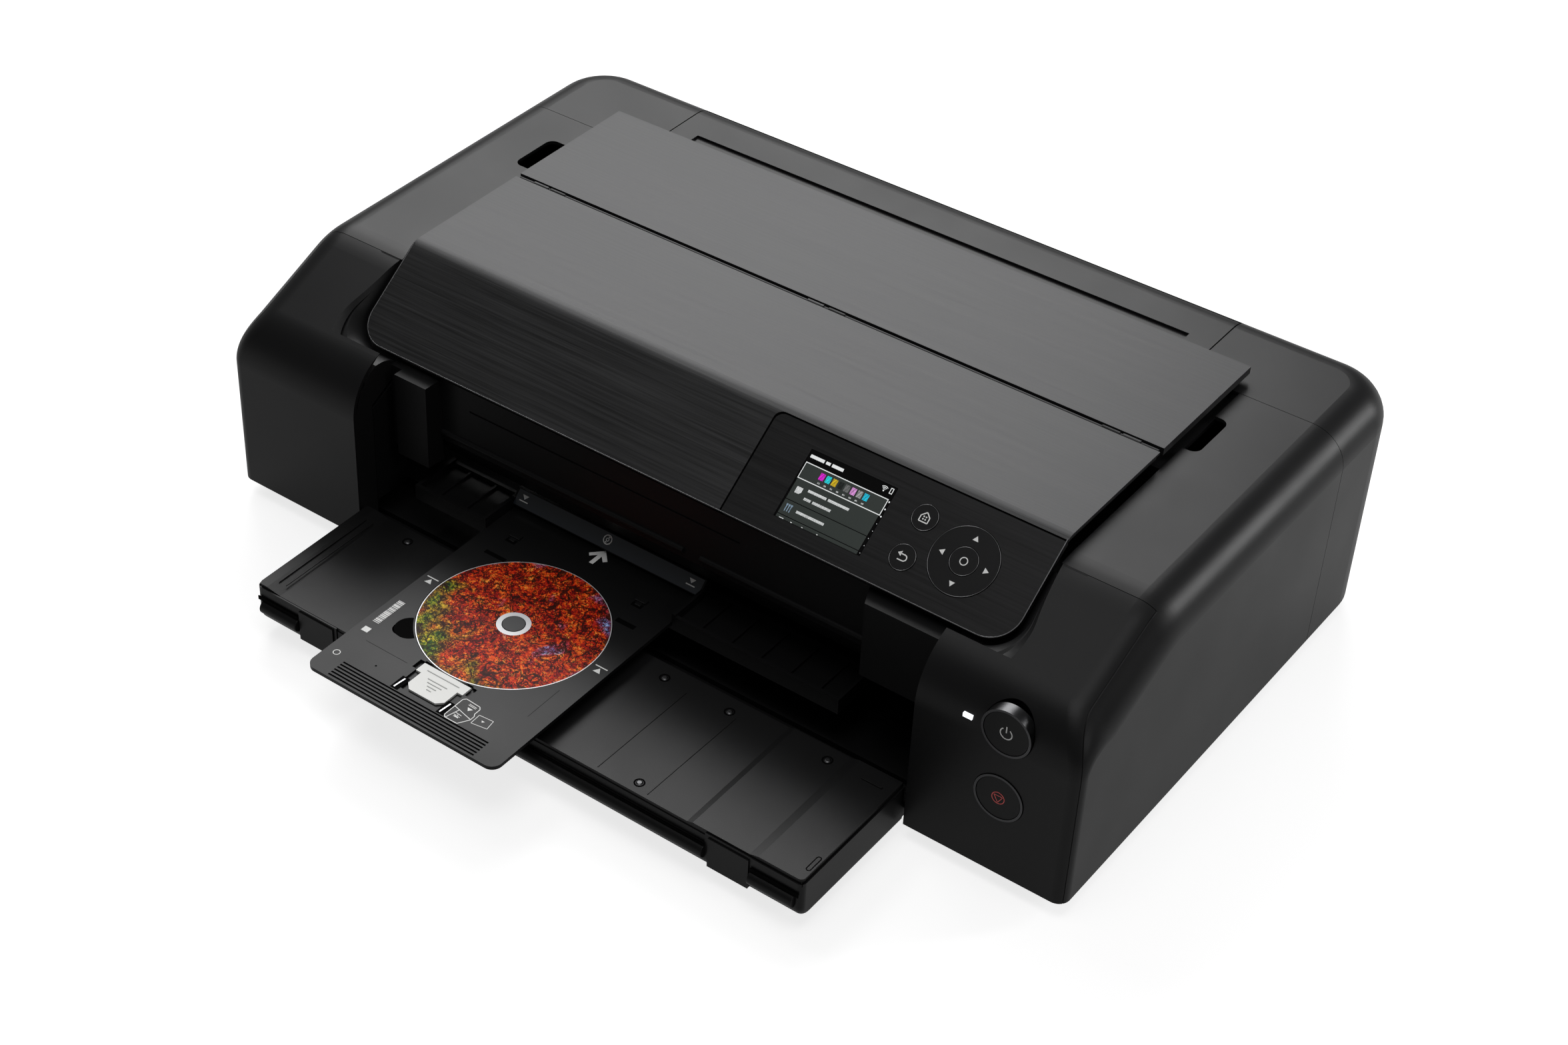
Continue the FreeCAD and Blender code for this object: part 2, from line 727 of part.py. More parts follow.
feet = [rod(f"foot_{i}", "z", (x, y, 0), body_lift, foot_radius)
        for i, (x, y) in enumerate([(-foot_x, front + foot_setback), (foot_x, front + foot_setback),
                                    (-foot_x, back - foot_back), (foot_x, back - foot_back)])]
keep(group("rubber_feet", feet), "rubber_feet")

# ---------------------------------------------------------------- rear tray cover, hopper and guides
hinge_y = back - cover_hinge_inset
hinge_z = cover_low + cover_hinge_rise
cover_region = box("cover_region", (-cover_half, cover_half), (cover_y, back + 9), (cover_low, deck_height + 9))
cover_skin = cut("cover_skin", rear_form("cover_outer_form", 0), [rear_form("cover_inner_form", cover_thickness)])
cover_items = [common("cover_plate", cover_skin, cover_region)]
for word, x in (("left", -cover_half), ("right", cover_half - knuckle_length)):
    cover_items.append(rod(f"cover_boss_{word}", "x", (x, hinge_y, hinge_z), knuckle_length, cover_hinge_rise))
strip = box("cover_strip", (-cover_half + strip_inset, cover_half - strip_inset),
            (cover_y + 5, cover_y + 5 + strip_width), (deck_height - 1.8, deck_height + 1))
groove = box("cover_groove", (-cover_half - 1, cover_half + 1), (back - groove_setback, back - groove_setback + 2.8),
             (deck_height - 4.8, deck_height + 1))
pin_hole = rod("cover_pin_hole", "x", (-cover_half - 1, hinge_y, hinge_z), cover_half * 2 + 2,
               hinge_rod_radius + running_gap)
keep(cut("rear_tray_cover", fuse("cover_solid", cover_items), [strip, groove, pin_hole]), "rear_tray_cover")
pin_length = knuckle_length + 4
pins = []
for word, side in (("left", -1), ("right", 1)):
    pin_x = cover_half + 4 - pin_length if side > 0 else -cover_half - 4
    arm_x = (cover_half + 1, cover_half + 4) if side > 0 else (-cover_half - 4, -cover_half - 1)
    pin = rod(f"cover_pin_{word}", "x", (pin_x, hinge_y, hinge_z), pin_length, hinge_rod_radius)
    arm = common(f"cover_arm_{word}", box(f"cover_arm_block_{word}", arm_x, (hinge_y - 3, back), (hinge_z - 3, hinge_z + 3)),
                 rear_inner_form)
    pins.append(fuse(f"cover_hinge_{word}", [pin, arm]))
keep(group("cover_hinge_pins", pins), "cover_hinge_pins")

feed_y = front + feed_depth
hopper_foot = (feed_y + 34, carriage_bottom + 16)
hopper_head = (cover_y + 40, deck_height - 15)
hopper_x = (-cover_half + 1, cover_half - 1)
hopper_plate = prism("hopper_plate", [hopper_foot, (feed_y + 34, carriage_bottom + 12), (feed_y + 38, carriage_bottom + 12),
                                      (hopper_head[0] + 4, hopper_head[1] - 1), (hopper_head[0] + 3, hopper_head[1] + 1),
                                      hopper_head], hopper_x)
hopper_drop = hopper_head[1] - hopper_foot[1]
web_share = 1 - 15.5 / hopper_drop.value
web_start = hopper_foot[0] + (hopper_head[0] - hopper_foot[0]) * web_share + 1
hopper_web = box("hopper_web", hopper_x, (web_start, back - wall), (hopper_head[1] - 17, hopper_head[1] - 14))
hopper = fuse("rear_hopper", [hopper_plate, hopper_web])
keep(hopper, "rear_hopper")

# ---------------------------------------------------------------- top frame and rear deck plate
rear_plate_y = lid_rear_y + hinge_groove
rear_plate_end = rear_plate_y + rear_plate_depth
plate_low = lid_top - lid_thickness
frame_edge = deck_inner - seam
top_frame = box("top_frame_plate", (-frame_edge, frame_edge), (rear_plate_y - 6, cover_y - seam * 3),
                (deck_height - 6, deck_height - wall - seam))
frame_rib = box("top_frame_rib", (-frame_edge, frame_edge), (rear_plate_y - 6, rear_plate_y - 3),
                (deck_height - 24, deck_height - 5))
frame_ledge = box("top_frame_ledge", (-frame_edge, frame_edge), (rear_plate_y - 6, rear_plate_y + 4),
                  (deck_height - 4, deck_height - 1))
keep(fuse("top_frame", [top_frame, frame_rib, frame_ledge]), "top_frame")
deck_plate = box("rear_plate_top", (-lid_half, lid_half), (rear_plate_y, rear_plate_end), (plate_low, lid_top))
foot_y = (rear_plate_y + 6, shell_seam_y - 1)
foot = box("rear_plate_foot", (-lid_half + 8, lid_half - 8), foot_y, (deck_height - wall - seam, plate_low + 1))
hollow = box("rear_plate_hollow", (-lid_half + 11, lid_half - 11), (foot_y[0] + 3, foot_y[1] - 3),
             (deck_height - wall - seam - 1, plate_low))
rod_y = lid_rear_y + hinge_groove / 2
rod_z = lid_top - hinge_drop


def knuckles(name, places, web):
    """Hinge barrels round the rod, each with a web towards the plate that carries it."""
    items = []
    for i, x in enumerate(places):
        items.append(rod(f"{name}_barrel_{i}", "x", (x, rod_y, rod_z), knuckle_length, hinge_drop))
        items.append(box(f"{name}_web_{i}", (x, x + knuckle_length), web, (rod_z - 1, lid_top - lid_skin)))
    return items


rod_bore = rod("rod_bore", "x", (-lid_half - 1, rod_y, rod_z), lid_half * 2 + 2, hinge_rod_radius + running_gap)
plate_knuckles = knuckles("plate", [-lid_half + 14, as_size(-8), lid_half - 26], (rod_y + 1, rear_plate_y + 1))
keep(cut("rear_deck_plate", fuse("rear_plate_solid", [deck_plate, foot] + plate_knuckles), [hollow, rod_bore]),
     "rear_deck_plate")
hinge_rod = rod("lid_hinge_rod", "x", (-lid_half + 2, rod_y, rod_z), lid_half * 2 - 4, hinge_rod_radius)
keep(hinge_rod, "lid_hinge_rod")


# ---------------------------------------------------------------- top cover
def lid_layer(name, depth, bottom, edge):
    """A bent sheet of the lid between two depths under its face, drawn in at its edges."""
    turn = math.radians(slope_angle) / 2
    lean = math.tan(turn)
    points = []
    across, along = math.sin(math.radians(slope_angle)), math.cos(math.radians(slope_angle))
    for d, reach in ((as_size(depth), 0), (as_size(bottom), 1)):
        rear = (lid_rear_y - edge, lid_top - d)
        bend = (bend_y + d * lean, lid_top - d)
        nose = (nose_y + d * across + edge * along, nose_z - d * along + edge * across)
        points += [rear, bend, nose] if reach == 0 else [nose, bend, rear]
    body = prism(name, points, (-lid_half + edge, lid_half - edge))
    for d in (as_size(depth), as_size(bottom)):
        z = (lid_top - d).value
        y = (bend_y + d * lean).value
        fillet(body, lid_bend_radius - d, lambda e: runs(e, X) and abs(middle(e).z - z) < 0.02
               and abs(middle(e).y - y) < 0.02)
    slope_normal = Vector(0, -across, along)
    fillet(body, lid_corner_radius - edge, lambda e: runs(e, slope_normal)
           and middle(e).z < nose_z.value + 3)
    return body


def slope_block(name, x, drop, rise):
    """A block square to the lid's slope: x places, distances down the slope and out of its face."""
    item = doc.addObject("Part::Box", name)
    bind(item, "Length", as_size(x[1]) - x[0])
    bind(item, "Width", as_size(drop[1]) - drop[0])
    bind(item, "Height", as_size(rise[1]) - rise[0])
    item.Placement = Placement(slope_place(x[0], as_size(drop[1]).value, as_size(rise[0]).value),
                               Rotation(X, slope_angle))
    return item


def slope_rod(name, x, drop, rise, radius):
    """A round bar square to the lid's slope between two heights over its face."""
    item = doc.addObject("Part::Cylinder", name)
    bind(item, "Radius", radius)
    bind(item, "Height", as_size(rise[1]) - rise[0])
    item.Placement = Placement(slope_place(x, as_size(drop).value, as_size(rise[0]).value),
                               Rotation(X, slope_angle))
    return item


def slope_bodies(name, x, drop, rise, radius, corners):
    """A panel square to the lid's slope whose chosen corners are rounded."""
    body = new_body(name)
    pad(body, sketch(body, "XY_Plane", rectangle(x, (-as_size(drop[1]), -as_size(drop[0]))), rise[0]),
        as_size(rise[1]) - rise[0])
    for (u, v), r in zip(corners, radius):
        u, v = as_size(u).value, -as_size(v).value
        fillet(body, r, lambda e: runs(e, Z) and abs(middle(e).x - u) < 0.05 and abs(middle(e).y - v) < 0.05)
    body.Placement = Placement(Vector(0, bend_y.value, lid_top.value), Rotation(X, slope_angle))
    return body


panel_x = (panel_left, lid_half)
panel_drop = (panel_top, slope_length)
panel_depth = lid_thickness - lid_skin
corner_keys = [(lid_half, slope_length), (panel_left, panel_top), (panel_left, slope_length)]
skin_cut = slope_bodies("panel_opening", (panel_left - panel_gap, lid_half + 9), (panel_top - panel_gap, slope_length + 9),
                        (-20, 20), [6], [(panel_left - panel_gap, panel_top - panel_gap)])
keep(cut("top_cover_plate", lid_layer("lid_skin", 0, lid_skin, as_size(0)), [skin_cut]), "top_cover_plate")
lid_knuckles = knuckles("lid", [-lid_half + 28, as_size(8), lid_half - 40], (lid_rear_y - 3, rod_y - 1))

panel = slope_bodies("operation_panel_plate", panel_x, panel_drop, (-panel_depth, 0),
                     [lid_corner_radius, 6, 2], corner_keys)
display_x = (display_left, display_left + display_width)
display_y = (display_drop, display_drop + display_height)
keys = {"home_key": (home_x, home_drop, 0, small_key_radius), "back_key": (home_x, back_drop, 0, small_key_radius),
        "arrow_ring": (ring_x, ring_drop, select_key_radius + key_gap, ring_key_radius),
        "select_key": (ring_x, ring_drop, 0, select_key_radius)}
bores = [slope_rod(f"{word}_bore", x, drop, (-20, 20), radius + key_gap)
         for word, (x, drop, hole, radius) in keys.items() if word != "select_key"]
window = slope_block("display_window", display_x, display_y, (-20, 20))
keep(cut("operation_panel", panel, bores + [window]), "operation_panel")
keep(slope_block("display", display_x, display_y, (-panel_depth, -0.4)), "display")
key_low = -(lid_thickness - key_travel - 0.1)
for word, (x, drop, hole, radius) in keys.items():
    piece = slope_rod(word + "_cap", x, drop, (key_low, key_proud), radius)
    if as_size(hole).value > 0:
        piece = cut(word, piece, [slope_rod(word + "_eye", x, drop, (key_low - 1, key_proud + 1), hole)])
    keep(piece, word)
board_x = (display_left - 6, ring_x + ring_key_radius + 3)
board_drop = (display_drop - 6, display_drop + display_height + 4)
liner_tools = [slope_bodies("panel_seat", (panel_left - panel_gap, lid_half + 9),
                            (panel_top - panel_gap, slope_length + 9), (-panel_depth, 20), [6],
                            [(panel_left - panel_gap, panel_top - panel_gap)]),
               slope_block("board_window", (display_left - 2, ring_x + ring_key_radius + key_gap),
                           (display_drop - 2, display_drop + display_height + 1), (-20, 20))]
liner = fuse("liner_solid", [lid_layer("lid_liner", lid_skin, lid_thickness, liner_inset)] + lid_knuckles)
keep(cut("top_cover_liner", liner, liner_tools + [rod_bore]), "top_cover_liner")
keep(slope_block("key_board", board_x, board_drop, (-lid_thickness - 1.4, -lid_thickness)), "key_board")


# ---------------------------------------------------------------- front buttons
def front_disc(name, height, y, radius, inner=None):
    """A round piece in the right pod's front face between two depths, behind or before the face."""
    start, end = as_size(y[0]), as_size(y[1])
    piece = rod(name + "_round", "y", (button_x, front + start, height), end - start, radius)
    if inner is None:
        return piece
    return cut(name, piece, [rod(name + "_hole", "y", (button_x, front + start - 1, height), end - start + 2, inner)])


rings = []
for word, height in (("power", power_height), ("stop", stop_height)):
    rings.append(front_disc(f"{word}_ring", height, (-0.6, ring_depth), button_ring_radius, button_radius + key_gap))
    keep(front_disc(f"{word}_button", height, (-0.3, ring_depth - button_travel - 1), button_radius), f"{word}_button")
keep(group("button_rings", rings), "button_rings")
keep(box("status_lamp", (lamp_x - lamp_length / 2, lamp_x + lamp_length / 2), (front - 0.1, front + ring_depth),
         (lamp_z - lamp_height / 2, lamp_z + lamp_height / 2)), "status_lamp")


# ---------------------------------------------------------------- mouth of the casing
mouth_y = front + mouth_face_depth
block_y = front + block_depth
seat_y = front + pod_wall_depth + seam
mouth_sheet_low = path_high + bridge_rise + mouth_bridge_gap
panel_points = [(mouth_y, mouth_top), (mouth_y, mouth_edge_height), (mouth_y + mouth_sheet_run, mouth_sheet_low),
                (mouth_y + mouth_sheet_run + wall, mouth_sheet_low), (mouth_y + wall, mouth_edge_height + 1),
                (mouth_y + wall, mouth_top)]
mouth_sheet = prism("mouth_sheet", panel_points, (-pod_inner, pod_inner))
bar_start = left_block_reach + left_block_slant + seam - pod_inner
bar_end = pod_inner - right_block_reach - right_block_slant - seam
mouth_bars = [rod("mouth_bar_left", "x", (bar_start, mouth_y, mouth_bar_height), bar_split - bar_start,
                  mouth_bar_radius),
              rod("mouth_bar_right", "x", (bar_split + bar_gap, mouth_y, mouth_bar_height),
                  bar_end - bar_split - bar_gap, mouth_bar_radius)]
mouth_groove = box("mouth_groove", (-guide_left + 33, 58), (mouth_y - 1, mouth_y + 0.8),
                   (mouth_top - 16, mouth_top - 14.6))
keep(cut("mouth_panel", fuse("mouth_panel_solid", [mouth_sheet] + mouth_bars), [mouth_groove]), "mouth_panel")


def mouth_block(label, side, reach, slant, recess, low):
    """Cover block in one corner of the mouth with the cheek that carries on the pod's wall."""
    edge, tip = (pod_inner, pod_inner - reach) if side > 0 else (-pod_inner, -pod_inner + reach)
    toe = tip - slant if side > 0 else tip + slant
    block = plan(label + "_block", [(edge, block_y), (tip, block_y), (toe, mouth_y), (edge, mouth_y)],
                 (low, mouth_top - 1))
    sunk = edge - recess * side
    hollow_x = (tip + wall * side, sunk - (wall + 1.5) * side)
    hollow = plan(label + "_hollow", [(hollow_x[0], block_y + wall), (hollow_x[0], mouth_y - 2),
                                      (hollow_x[1], mouth_y - 2), (hollow_x[1], block_y + wall)],
                  (low - 1, mouth_top - 4))
    cheek_x = (pod_inner, pod_inner + wall) if side > 0 else (-pod_inner - wall, -pod_inner)
    cheek = prism(label + "_cheek", [(seat_y, body_lift + pan_wall_height + 1), (seat_y, pod_bend_height - 26),
                                     (mouth_y + wall, pod_bend_height - 12),
                                     (mouth_y + wall, body_lift + pan_wall_height + 1)], cheek_x)
    bridge_x = (pod_inner - 3, pod_inner + wall) if side > 0 else (-pod_inner - wall, -pod_inner + 3)
    bridge = box(label + "_bridge", bridge_x, (block_y + 1, mouth_y), (low, pod_bend_height - 22))
    tools = [hollow]
    if recess.value > 0:
        tools.append(plan(label + "_recess", [(edge, block_y - 1), (sunk, block_y - 1),
                                              (sunk, block_y + block_recess_depth),
                                              (edge, block_y + block_recess_depth)], (low - 1, mouth_top + 1)))
    return cut(label, fuse(label + "_whole", [block, cheek, bridge]), tools)


keep(mouth_block("mouth_left_block", -1, left_block_reach, left_block_slant, left_block_recess,
                 mouth_edge_height - 16), "mouth_left_block")
keep(mouth_block("mouth_right_block", 1, right_block_reach, right_block_slant, as_size(0),
                 mouth_edge_height - 8), "mouth_right_block")

# ---------------------------------------------------------------- tray guide, lowered
tray_left = tray_center - tray_width / 2
tray_right = tray_center + tray_width / 2
channel_left = tray_left - tray_side_gap
channel_right = tray_right + tray_side_gap
guide_y = front + guide_front
guide_rear = guide_y + guide_depth
channel_end = front + guide_channel_end
floor_top = tray_low - 0.2
floor_low = floor_top - guide_wall
lip_top = floor_low + guide_lip_height
wall_top = tray_top + guide_wall_rise
pieces = [box("guide_floor", (channel_left - guide_wall, channel_right + guide_wall), (guide_y, channel_end),
              (floor_low, floor_top))]
for word, x in (("left", (channel_left - guide_wall, channel_left)), ("right", (channel_right, channel_right + guide_wall))):
    pieces.append(box(f"guide_wall_{word}", x, (guide_y, channel_end), (floor_low, wall_top)))
    pieces.append(box(f"guide_leg_{word}", x, (channel_end - 24, channel_end), (body_lift + wall, floor_low + 1)))
for word, x in (("left", (-guide_left, channel_left - 1)), ("right", (channel_right + 1, guide_right))):
    pieces.append(box(f"guide_lip_{word}", x, (guide_y, guide_y + guide_wall), (floor_low, lip_top)))
    pieces.append(box(f"guide_shelf_{word}", x, (guide_y, guide_rear), (shelf_height - guide_wall, shelf_height)))
    pieces.append(box(f"guide_back_{word}", x, (guide_rear - guide_wall, guide_rear),
                      (floor_low, shelf_height + 3)))
pieces.append(box("guide_end_left", (-guide_left, -guide_left + guide_wall), (guide_y, guide_rear), (floor_low, lip_top)))
pieces.append(box("guide_end_right", (guide_right - guide_wall, guide_right), (guide_y, guide_rear), (floor_low, lip_top)))
left_shelf, right_shelf = guide_left + channel_left, guide_right - channel_right
for i in range(2):
    x = -guide_left + left_shelf * (0.27 + 0.37 * i)
    pieces.append(box(f"guide_rib_left_{i}", (x, x + 1.5), (guide_y + 1, guide_rear - 1), (shelf_height - 1, shelf_height + 2)))
for i in range(5):
    x = channel_right + right_shelf * (0.146 + 0.178 * i)
    pieces.append(box(f"guide_rib_right_{i}", (x, x + 1.5), (guide_y + 1, guide_rear - 1), (shelf_height - 1, shelf_height + 2)))
bridge_y = front + bridge_depth
bridge_low = path_high
strip_length = math.hypot(bridge_rise.value, bridge_run.value)


def on_bridge(along, depth):
    """A point on the bridge's sloping front: a share of its length up it and a depth under it."""
    return (bridge_y + bridge_run * along + depth * (bridge_rise.value / strip_length),
            bridge_low + 0.3 + bridge_rise * along - depth * (bridge_run.value / strip_length))


pieces.append(prism("guide_bridge", [(bridge_y, bridge_low), on_bridge(0, 0), on_bridge(1, 0),
                                     (bridge_y + bridge_length, bridge_low + 0.3 + bridge_rise),
                                     (bridge_y + bridge_length, bridge_low)], (channel_left - 1, channel_right + 1)))
margin = label_margin.value / strip_length
label_outline = [on_bridge(margin, 0), on_bridge(1 - margin, 0), on_bridge(1 - margin, label_thickness),
                 on_bridge(margin, label_thickness)]
label_x = (channel_left + label_margin, channel_right - label_margin)
label_well = prism("label_well", [on_bridge(margin, -1), on_bridge(1 - margin, -1)] + label_outline[2:], label_x)
keep(cut("tray_guide", fuse("tray_guide_solid", pieces), [label_well]), "tray_guide")
keep(prism("guide_label", label_outline, label_x), "guide_label")

# ---------------------------------------------------------------- disc tray, adapter tab and disc
tray_front = front - tray_reach
disc_y = tray_front + disc_setback
tray_solid = plan("tray_solid", rectangle((tray_left, tray_right), (tray_front, tray_front + tray_length)),
                  (tray_low, tray_top))
fillet(tray_solid, tray_corner, lambda e: runs(e, Z))
seat = tray_low + recess_floor
tray_tools = [cut("disc_recess", rod("recess_round", "z", (tray_center, disc_y, seat), 9, disc_radius + recess_gap),
                  [rod("hub", "z", (tray_center, disc_y, seat - 1), 12, disc_hole_radius - 0.3)]),
              rod("hub_hole", "z", (tray_center, disc_y, tray_low - 1), 9, disc_hole_radius - 2.5),
              rod("finger_hole", "z", (tray_center - 50, disc_y - 46, tray_low - 1), 9, finger_hole_radius)]
adapter_x = (tray_center - adapter_width / 2, tray_center + adapter_width / 2)
adapter_end = disc_y - disc_radius - recess_gap - 0.4
adapter_start = adapter_end - adapter_length
tray_tools.append(box("adapter_well", (adapter_x[0] - 0.5, adapter_x[1] + 0.5), (adapter_start - 2, adapter_end + 2), (seat, tray_top + 1)))
for word, x in (("left", adapter_x[0] - 4), ("right", adapter_x[1])):
    tray_tools.append(box(f"adapter_socket_{word}", (x, x + 4), (adapter_end - 7, adapter_end + 1), (seat - 0.5, tray_top + 1)))
for i in range(6):
    start = tray_front + 1.6 + i * groove_pitch
    tray_tools.append(box(f"grip_groove_{i}", (tray_left + 17, tray_right - 17), (start, start + groove_width),
                          (tray_top - groove_depth, tray_top + 1)))
for side in (-1, 1):
    middle_x = tray_center + side * 66
    tray_tools.append(box(f"tray_notch_{side + 1}", (middle_x - 2, middle_x + 2),
                          (disc_y + 47, disc_y + 59), (tray_low - 1, tray_top + 1)))
keep(cut("disc_tray", tray_solid, tray_tools), "disc_tray")
adapter = plan("adapter_plate", [(adapter_x[0], adapter_end), (adapter_x[0], adapter_end - 8), (adapter_x[0] + 4, adapter_end - 8),
                                 (adapter_x[0] + 4, adapter_start + 4), (adapter_x[0] + 8, adapter_start),
                                 (adapter_x[1] - 8, adapter_start), (adapter_x[1] - 4, adapter_start + 4),
                                 (adapter_x[1] - 4, adapter_end - 8), (adapter_x[1], adapter_end - 8),
                                 (adapter_x[1], adapter_end)], (seat, tray_top + 0.1))
keep(adapter, "adapter_tab")
disc_solid = new_body("disc")
pad(disc_solid, circle(disc_solid, "XY_Plane", (tray_center, disc_y), disc_radius, seat), disc_thickness)
pocket(disc_solid, circle(disc_solid, "XY_Plane", (tray_center, disc_y), disc_hole_radius, seat + disc_thickness),
       disc_thickness + 1)
keep(disc_solid, "disc")

# ---------------------------------------------------------------- output tray
out_front = front - out_reach
out_back = front + 3.5
out_hinge_y = front + out_hinge_depth
out_top = out_bottom + out_height
out_outer = prism("out_outer", [(out_front, out_bottom), (out_back, out_bottom), (out_back, out_top - 3),
                                (out_front, out_top - 3)], (-out_half, out_half))
fillet(out_outer, out_round, lambda e: runs(e, X) and close(middle(e).y, out_front) and close(middle(e).z, out_bottom))
fillet(out_outer, 4, lambda e: runs(e, Z) and close(middle(e).y, out_front))
plate_low_z = out_top - 5
out_hollow = box("out_hollow", (-out_half + wall, out_half - wall), (out_front + wall * 2, out_back - wall),
                 (out_bottom + wall, out_top + 1))
slot_low = out_top - extension_drop
front_slot = box("out_front_slot", (-extension_half - seam, extension_half + seam), (out_front - 1, out_front + 9),
                 (slot_low, out_top + 1))
plate_seat = box("out_plate_seat", (-out_half + 1, out_half - 1), (out_front + 1, out_back + 1), (plate_low_z, out_top + 1))
cover_shell = cut("out_cover_shell", out_outer, [out_hollow, front_slot, plate_seat])
cover_items = [cover_shell]
for word, side in (("left", -1), ("right", 1)):
    ear_x = out_half - 6 if side > 0 else -out_half
    cover_items.append(rod(f"out_ear_{word}", "x", (ear_x, out_hinge_y, out_hinge_z), 6, out_pin_radius + 3))
    cover_items.append(box(f"out_ear_arm_{word}", (ear_x, ear_x + 6), (out_back - 1, out_hinge_y),
                           (out_hinge_z - out_pin_radius - 3, out_hinge_z + out_pin_radius + 3)))
    pin_x = out_half - 2 if side > 0 else -pod_inner - wall + 0.5
    cover_items.append(rod(f"out_pin_{word}", "x", (pin_x, out_hinge_y, out_hinge_z),
                           pod_inner + wall - out_half + 1.5, out_pin_radius))
    pad_x = grip_inner if side > 0 else -grip_inner - grip_width
    cover_items.append(box(f"out_grip_{word}", (pad_x, pad_x + grip_width), (out_front - 1, out_front + 3),
                           (out_bottom + 4, plate_low_z)))
for i, x in enumerate((-extension_half + 20, as_size(-1.5), extension_half - 23)):
    cover_items.append(box(f"extension_runner_{i}", (x, x + 3), (out_front + wall * 2 - 0.5, out_back - wall + 0.5),
                           (out_bottom + wall - 0.5, slot_low)))
keep(fuse("output_tray_cover", cover_items), "output_tray_cover")
edge_x = out_half - 1.2
sheet_points = [(-edge_x, plate_low_z), (edge_x, plate_low_z), (edge_x, out_top), (edge_x - 30, out_top),
                (edge_x - 36, out_top - 1.6), (edge_x - 76, out_top - 1.6), (edge_x - 80, out_top - 2.8),
                (-edge_x + 18, out_top - 2.8), (-edge_x + 7, out_top - 1), (-edge_x, out_top - 1)]
sheet_body = new_body("output_tray_plate")
pad(sheet_body, sketch(sheet_body, "XZ_Plane", sheet_points, -(out_back - 0.2)), out_back - 0.2 - (out_front + 1.2))
fillet(sheet_body, 3, lambda e: runs(e, Z) and close(middle(e).y, out_front + 1.2))
keep(sheet_body, "output_tray_plate")
ext_front = out_front + 0.6
ext_sheet = box("extension_sheet", (-extension_half, extension_half), (ext_front + 1, out_back - wall - extension_back_gap),
                (slot_low + 0.3, slot_low + 2.8))
ext_bar = box("extension_bar", (-extension_half, extension_half), (ext_front, ext_front + 4),
              (slot_low + 0.3, plate_low_z - 0.3))
keep(fuse("output_tray_extension", [ext_sheet, ext_bar]), "output_tray_extension")


# ---------------------------------------------------------------- chassis and paper path
chassis_y = front + chassis_depth
chassis_end = chassis_y + chassis_length
frame_low = body_lift + wall + 4
path_top = path_low
feed_z = path_top - feed_radius
exit_y = front + exit_depth
exit_z = path_top - exit_radius
rail_y = front + rail_depth
rail_z = rail_height
pinch_z = path_high + 0.6 + pinch_radius
beam_y = rail_y + rail_radius * 2 + 2
frame_items = []
bores = [rod("feed_bore", "x", (-chassis_half - 9, feed_y, feed_z), chassis_half * 2 + 18, journal_radius + running_gap),
         rod("exit_bore", "x", (-chassis_half - 9, exit_y, exit_z), chassis_half * 2 + 18,
             exit_core_radius + running_gap),
         rod("rail_bore", "x", (-chassis_half - 9, rail_y, rail_z), chassis_half * 2 + 18, rail_radius)]
for word, x in (("idler", -pulley_x), ("motor", pulley_x)):
    bores.append(rod(f"{word}_axle_bore", "y", (x, beam_y - 1, pulley_height), steel + 2, axle_radius + running_gap))
for word, x in (("left", (-chassis_half - steel, -chassis_half)), ("right", (chassis_half, chassis_half + steel))):
    frame_items.append(prism(f"chassis_{word}", [(chassis_y, frame_low), (chassis_y, frame_top - 36),
                                                 (chassis_y + 66, frame_top), (chassis_end, frame_top),
                                                 (chassis_end, frame_low)], x))
frame_items.append(box("chassis_beam", (-chassis_half - 0.5, chassis_half + 0.5), (beam_y, beam_y + steel),
                       (rail_z + rail_radius * 2, frame_top)))
frame_items.append(box("chassis_flange", (-chassis_half - 0.5, chassis_half + 0.5), (beam_y - 14, beam_y + steel),
                       (frame_top - steel, frame_top)))
keep(cut("chassis_frame", fuse("chassis_solid", frame_items), bores), "chassis_frame")
keep(rod("carriage_shaft", "x", (-chassis_half - steel, rail_y, rail_z), (chassis_half + steel) * 2, rail_radius),
     "carriage_shaft")

platen_y = front + platen_depth - platen_length / 2
platen_items = [box("platen_top", (-sheet_width / 2, sheet_width / 2), (platen_y, platen_y + platen_length),
                    (path_top - 9, path_top - 3))]
for i in range(9):
    x = -sheet_width / 2 + 4 + i * (sheet_width - 10) / 8
    platen_items.append(box(f"platen_rib_{i}", (x, x + 2), (platen_y + 1, platen_y + platen_length - 1),
                            (path_top - 4, path_top)))
for i, x in enumerate((-sheet_width / 2 + 3, -sheet_width / 6, sheet_width / 6, sheet_width / 2 - 7)):
    platen_items.append(box(f"platen_leg_{i}", (x, x + 4), (platen_y + 6, platen_y + platen_length - 6),
                            (body_lift + wall, path_top - 8)))
keep(fuse("platen", platen_items), "platen")

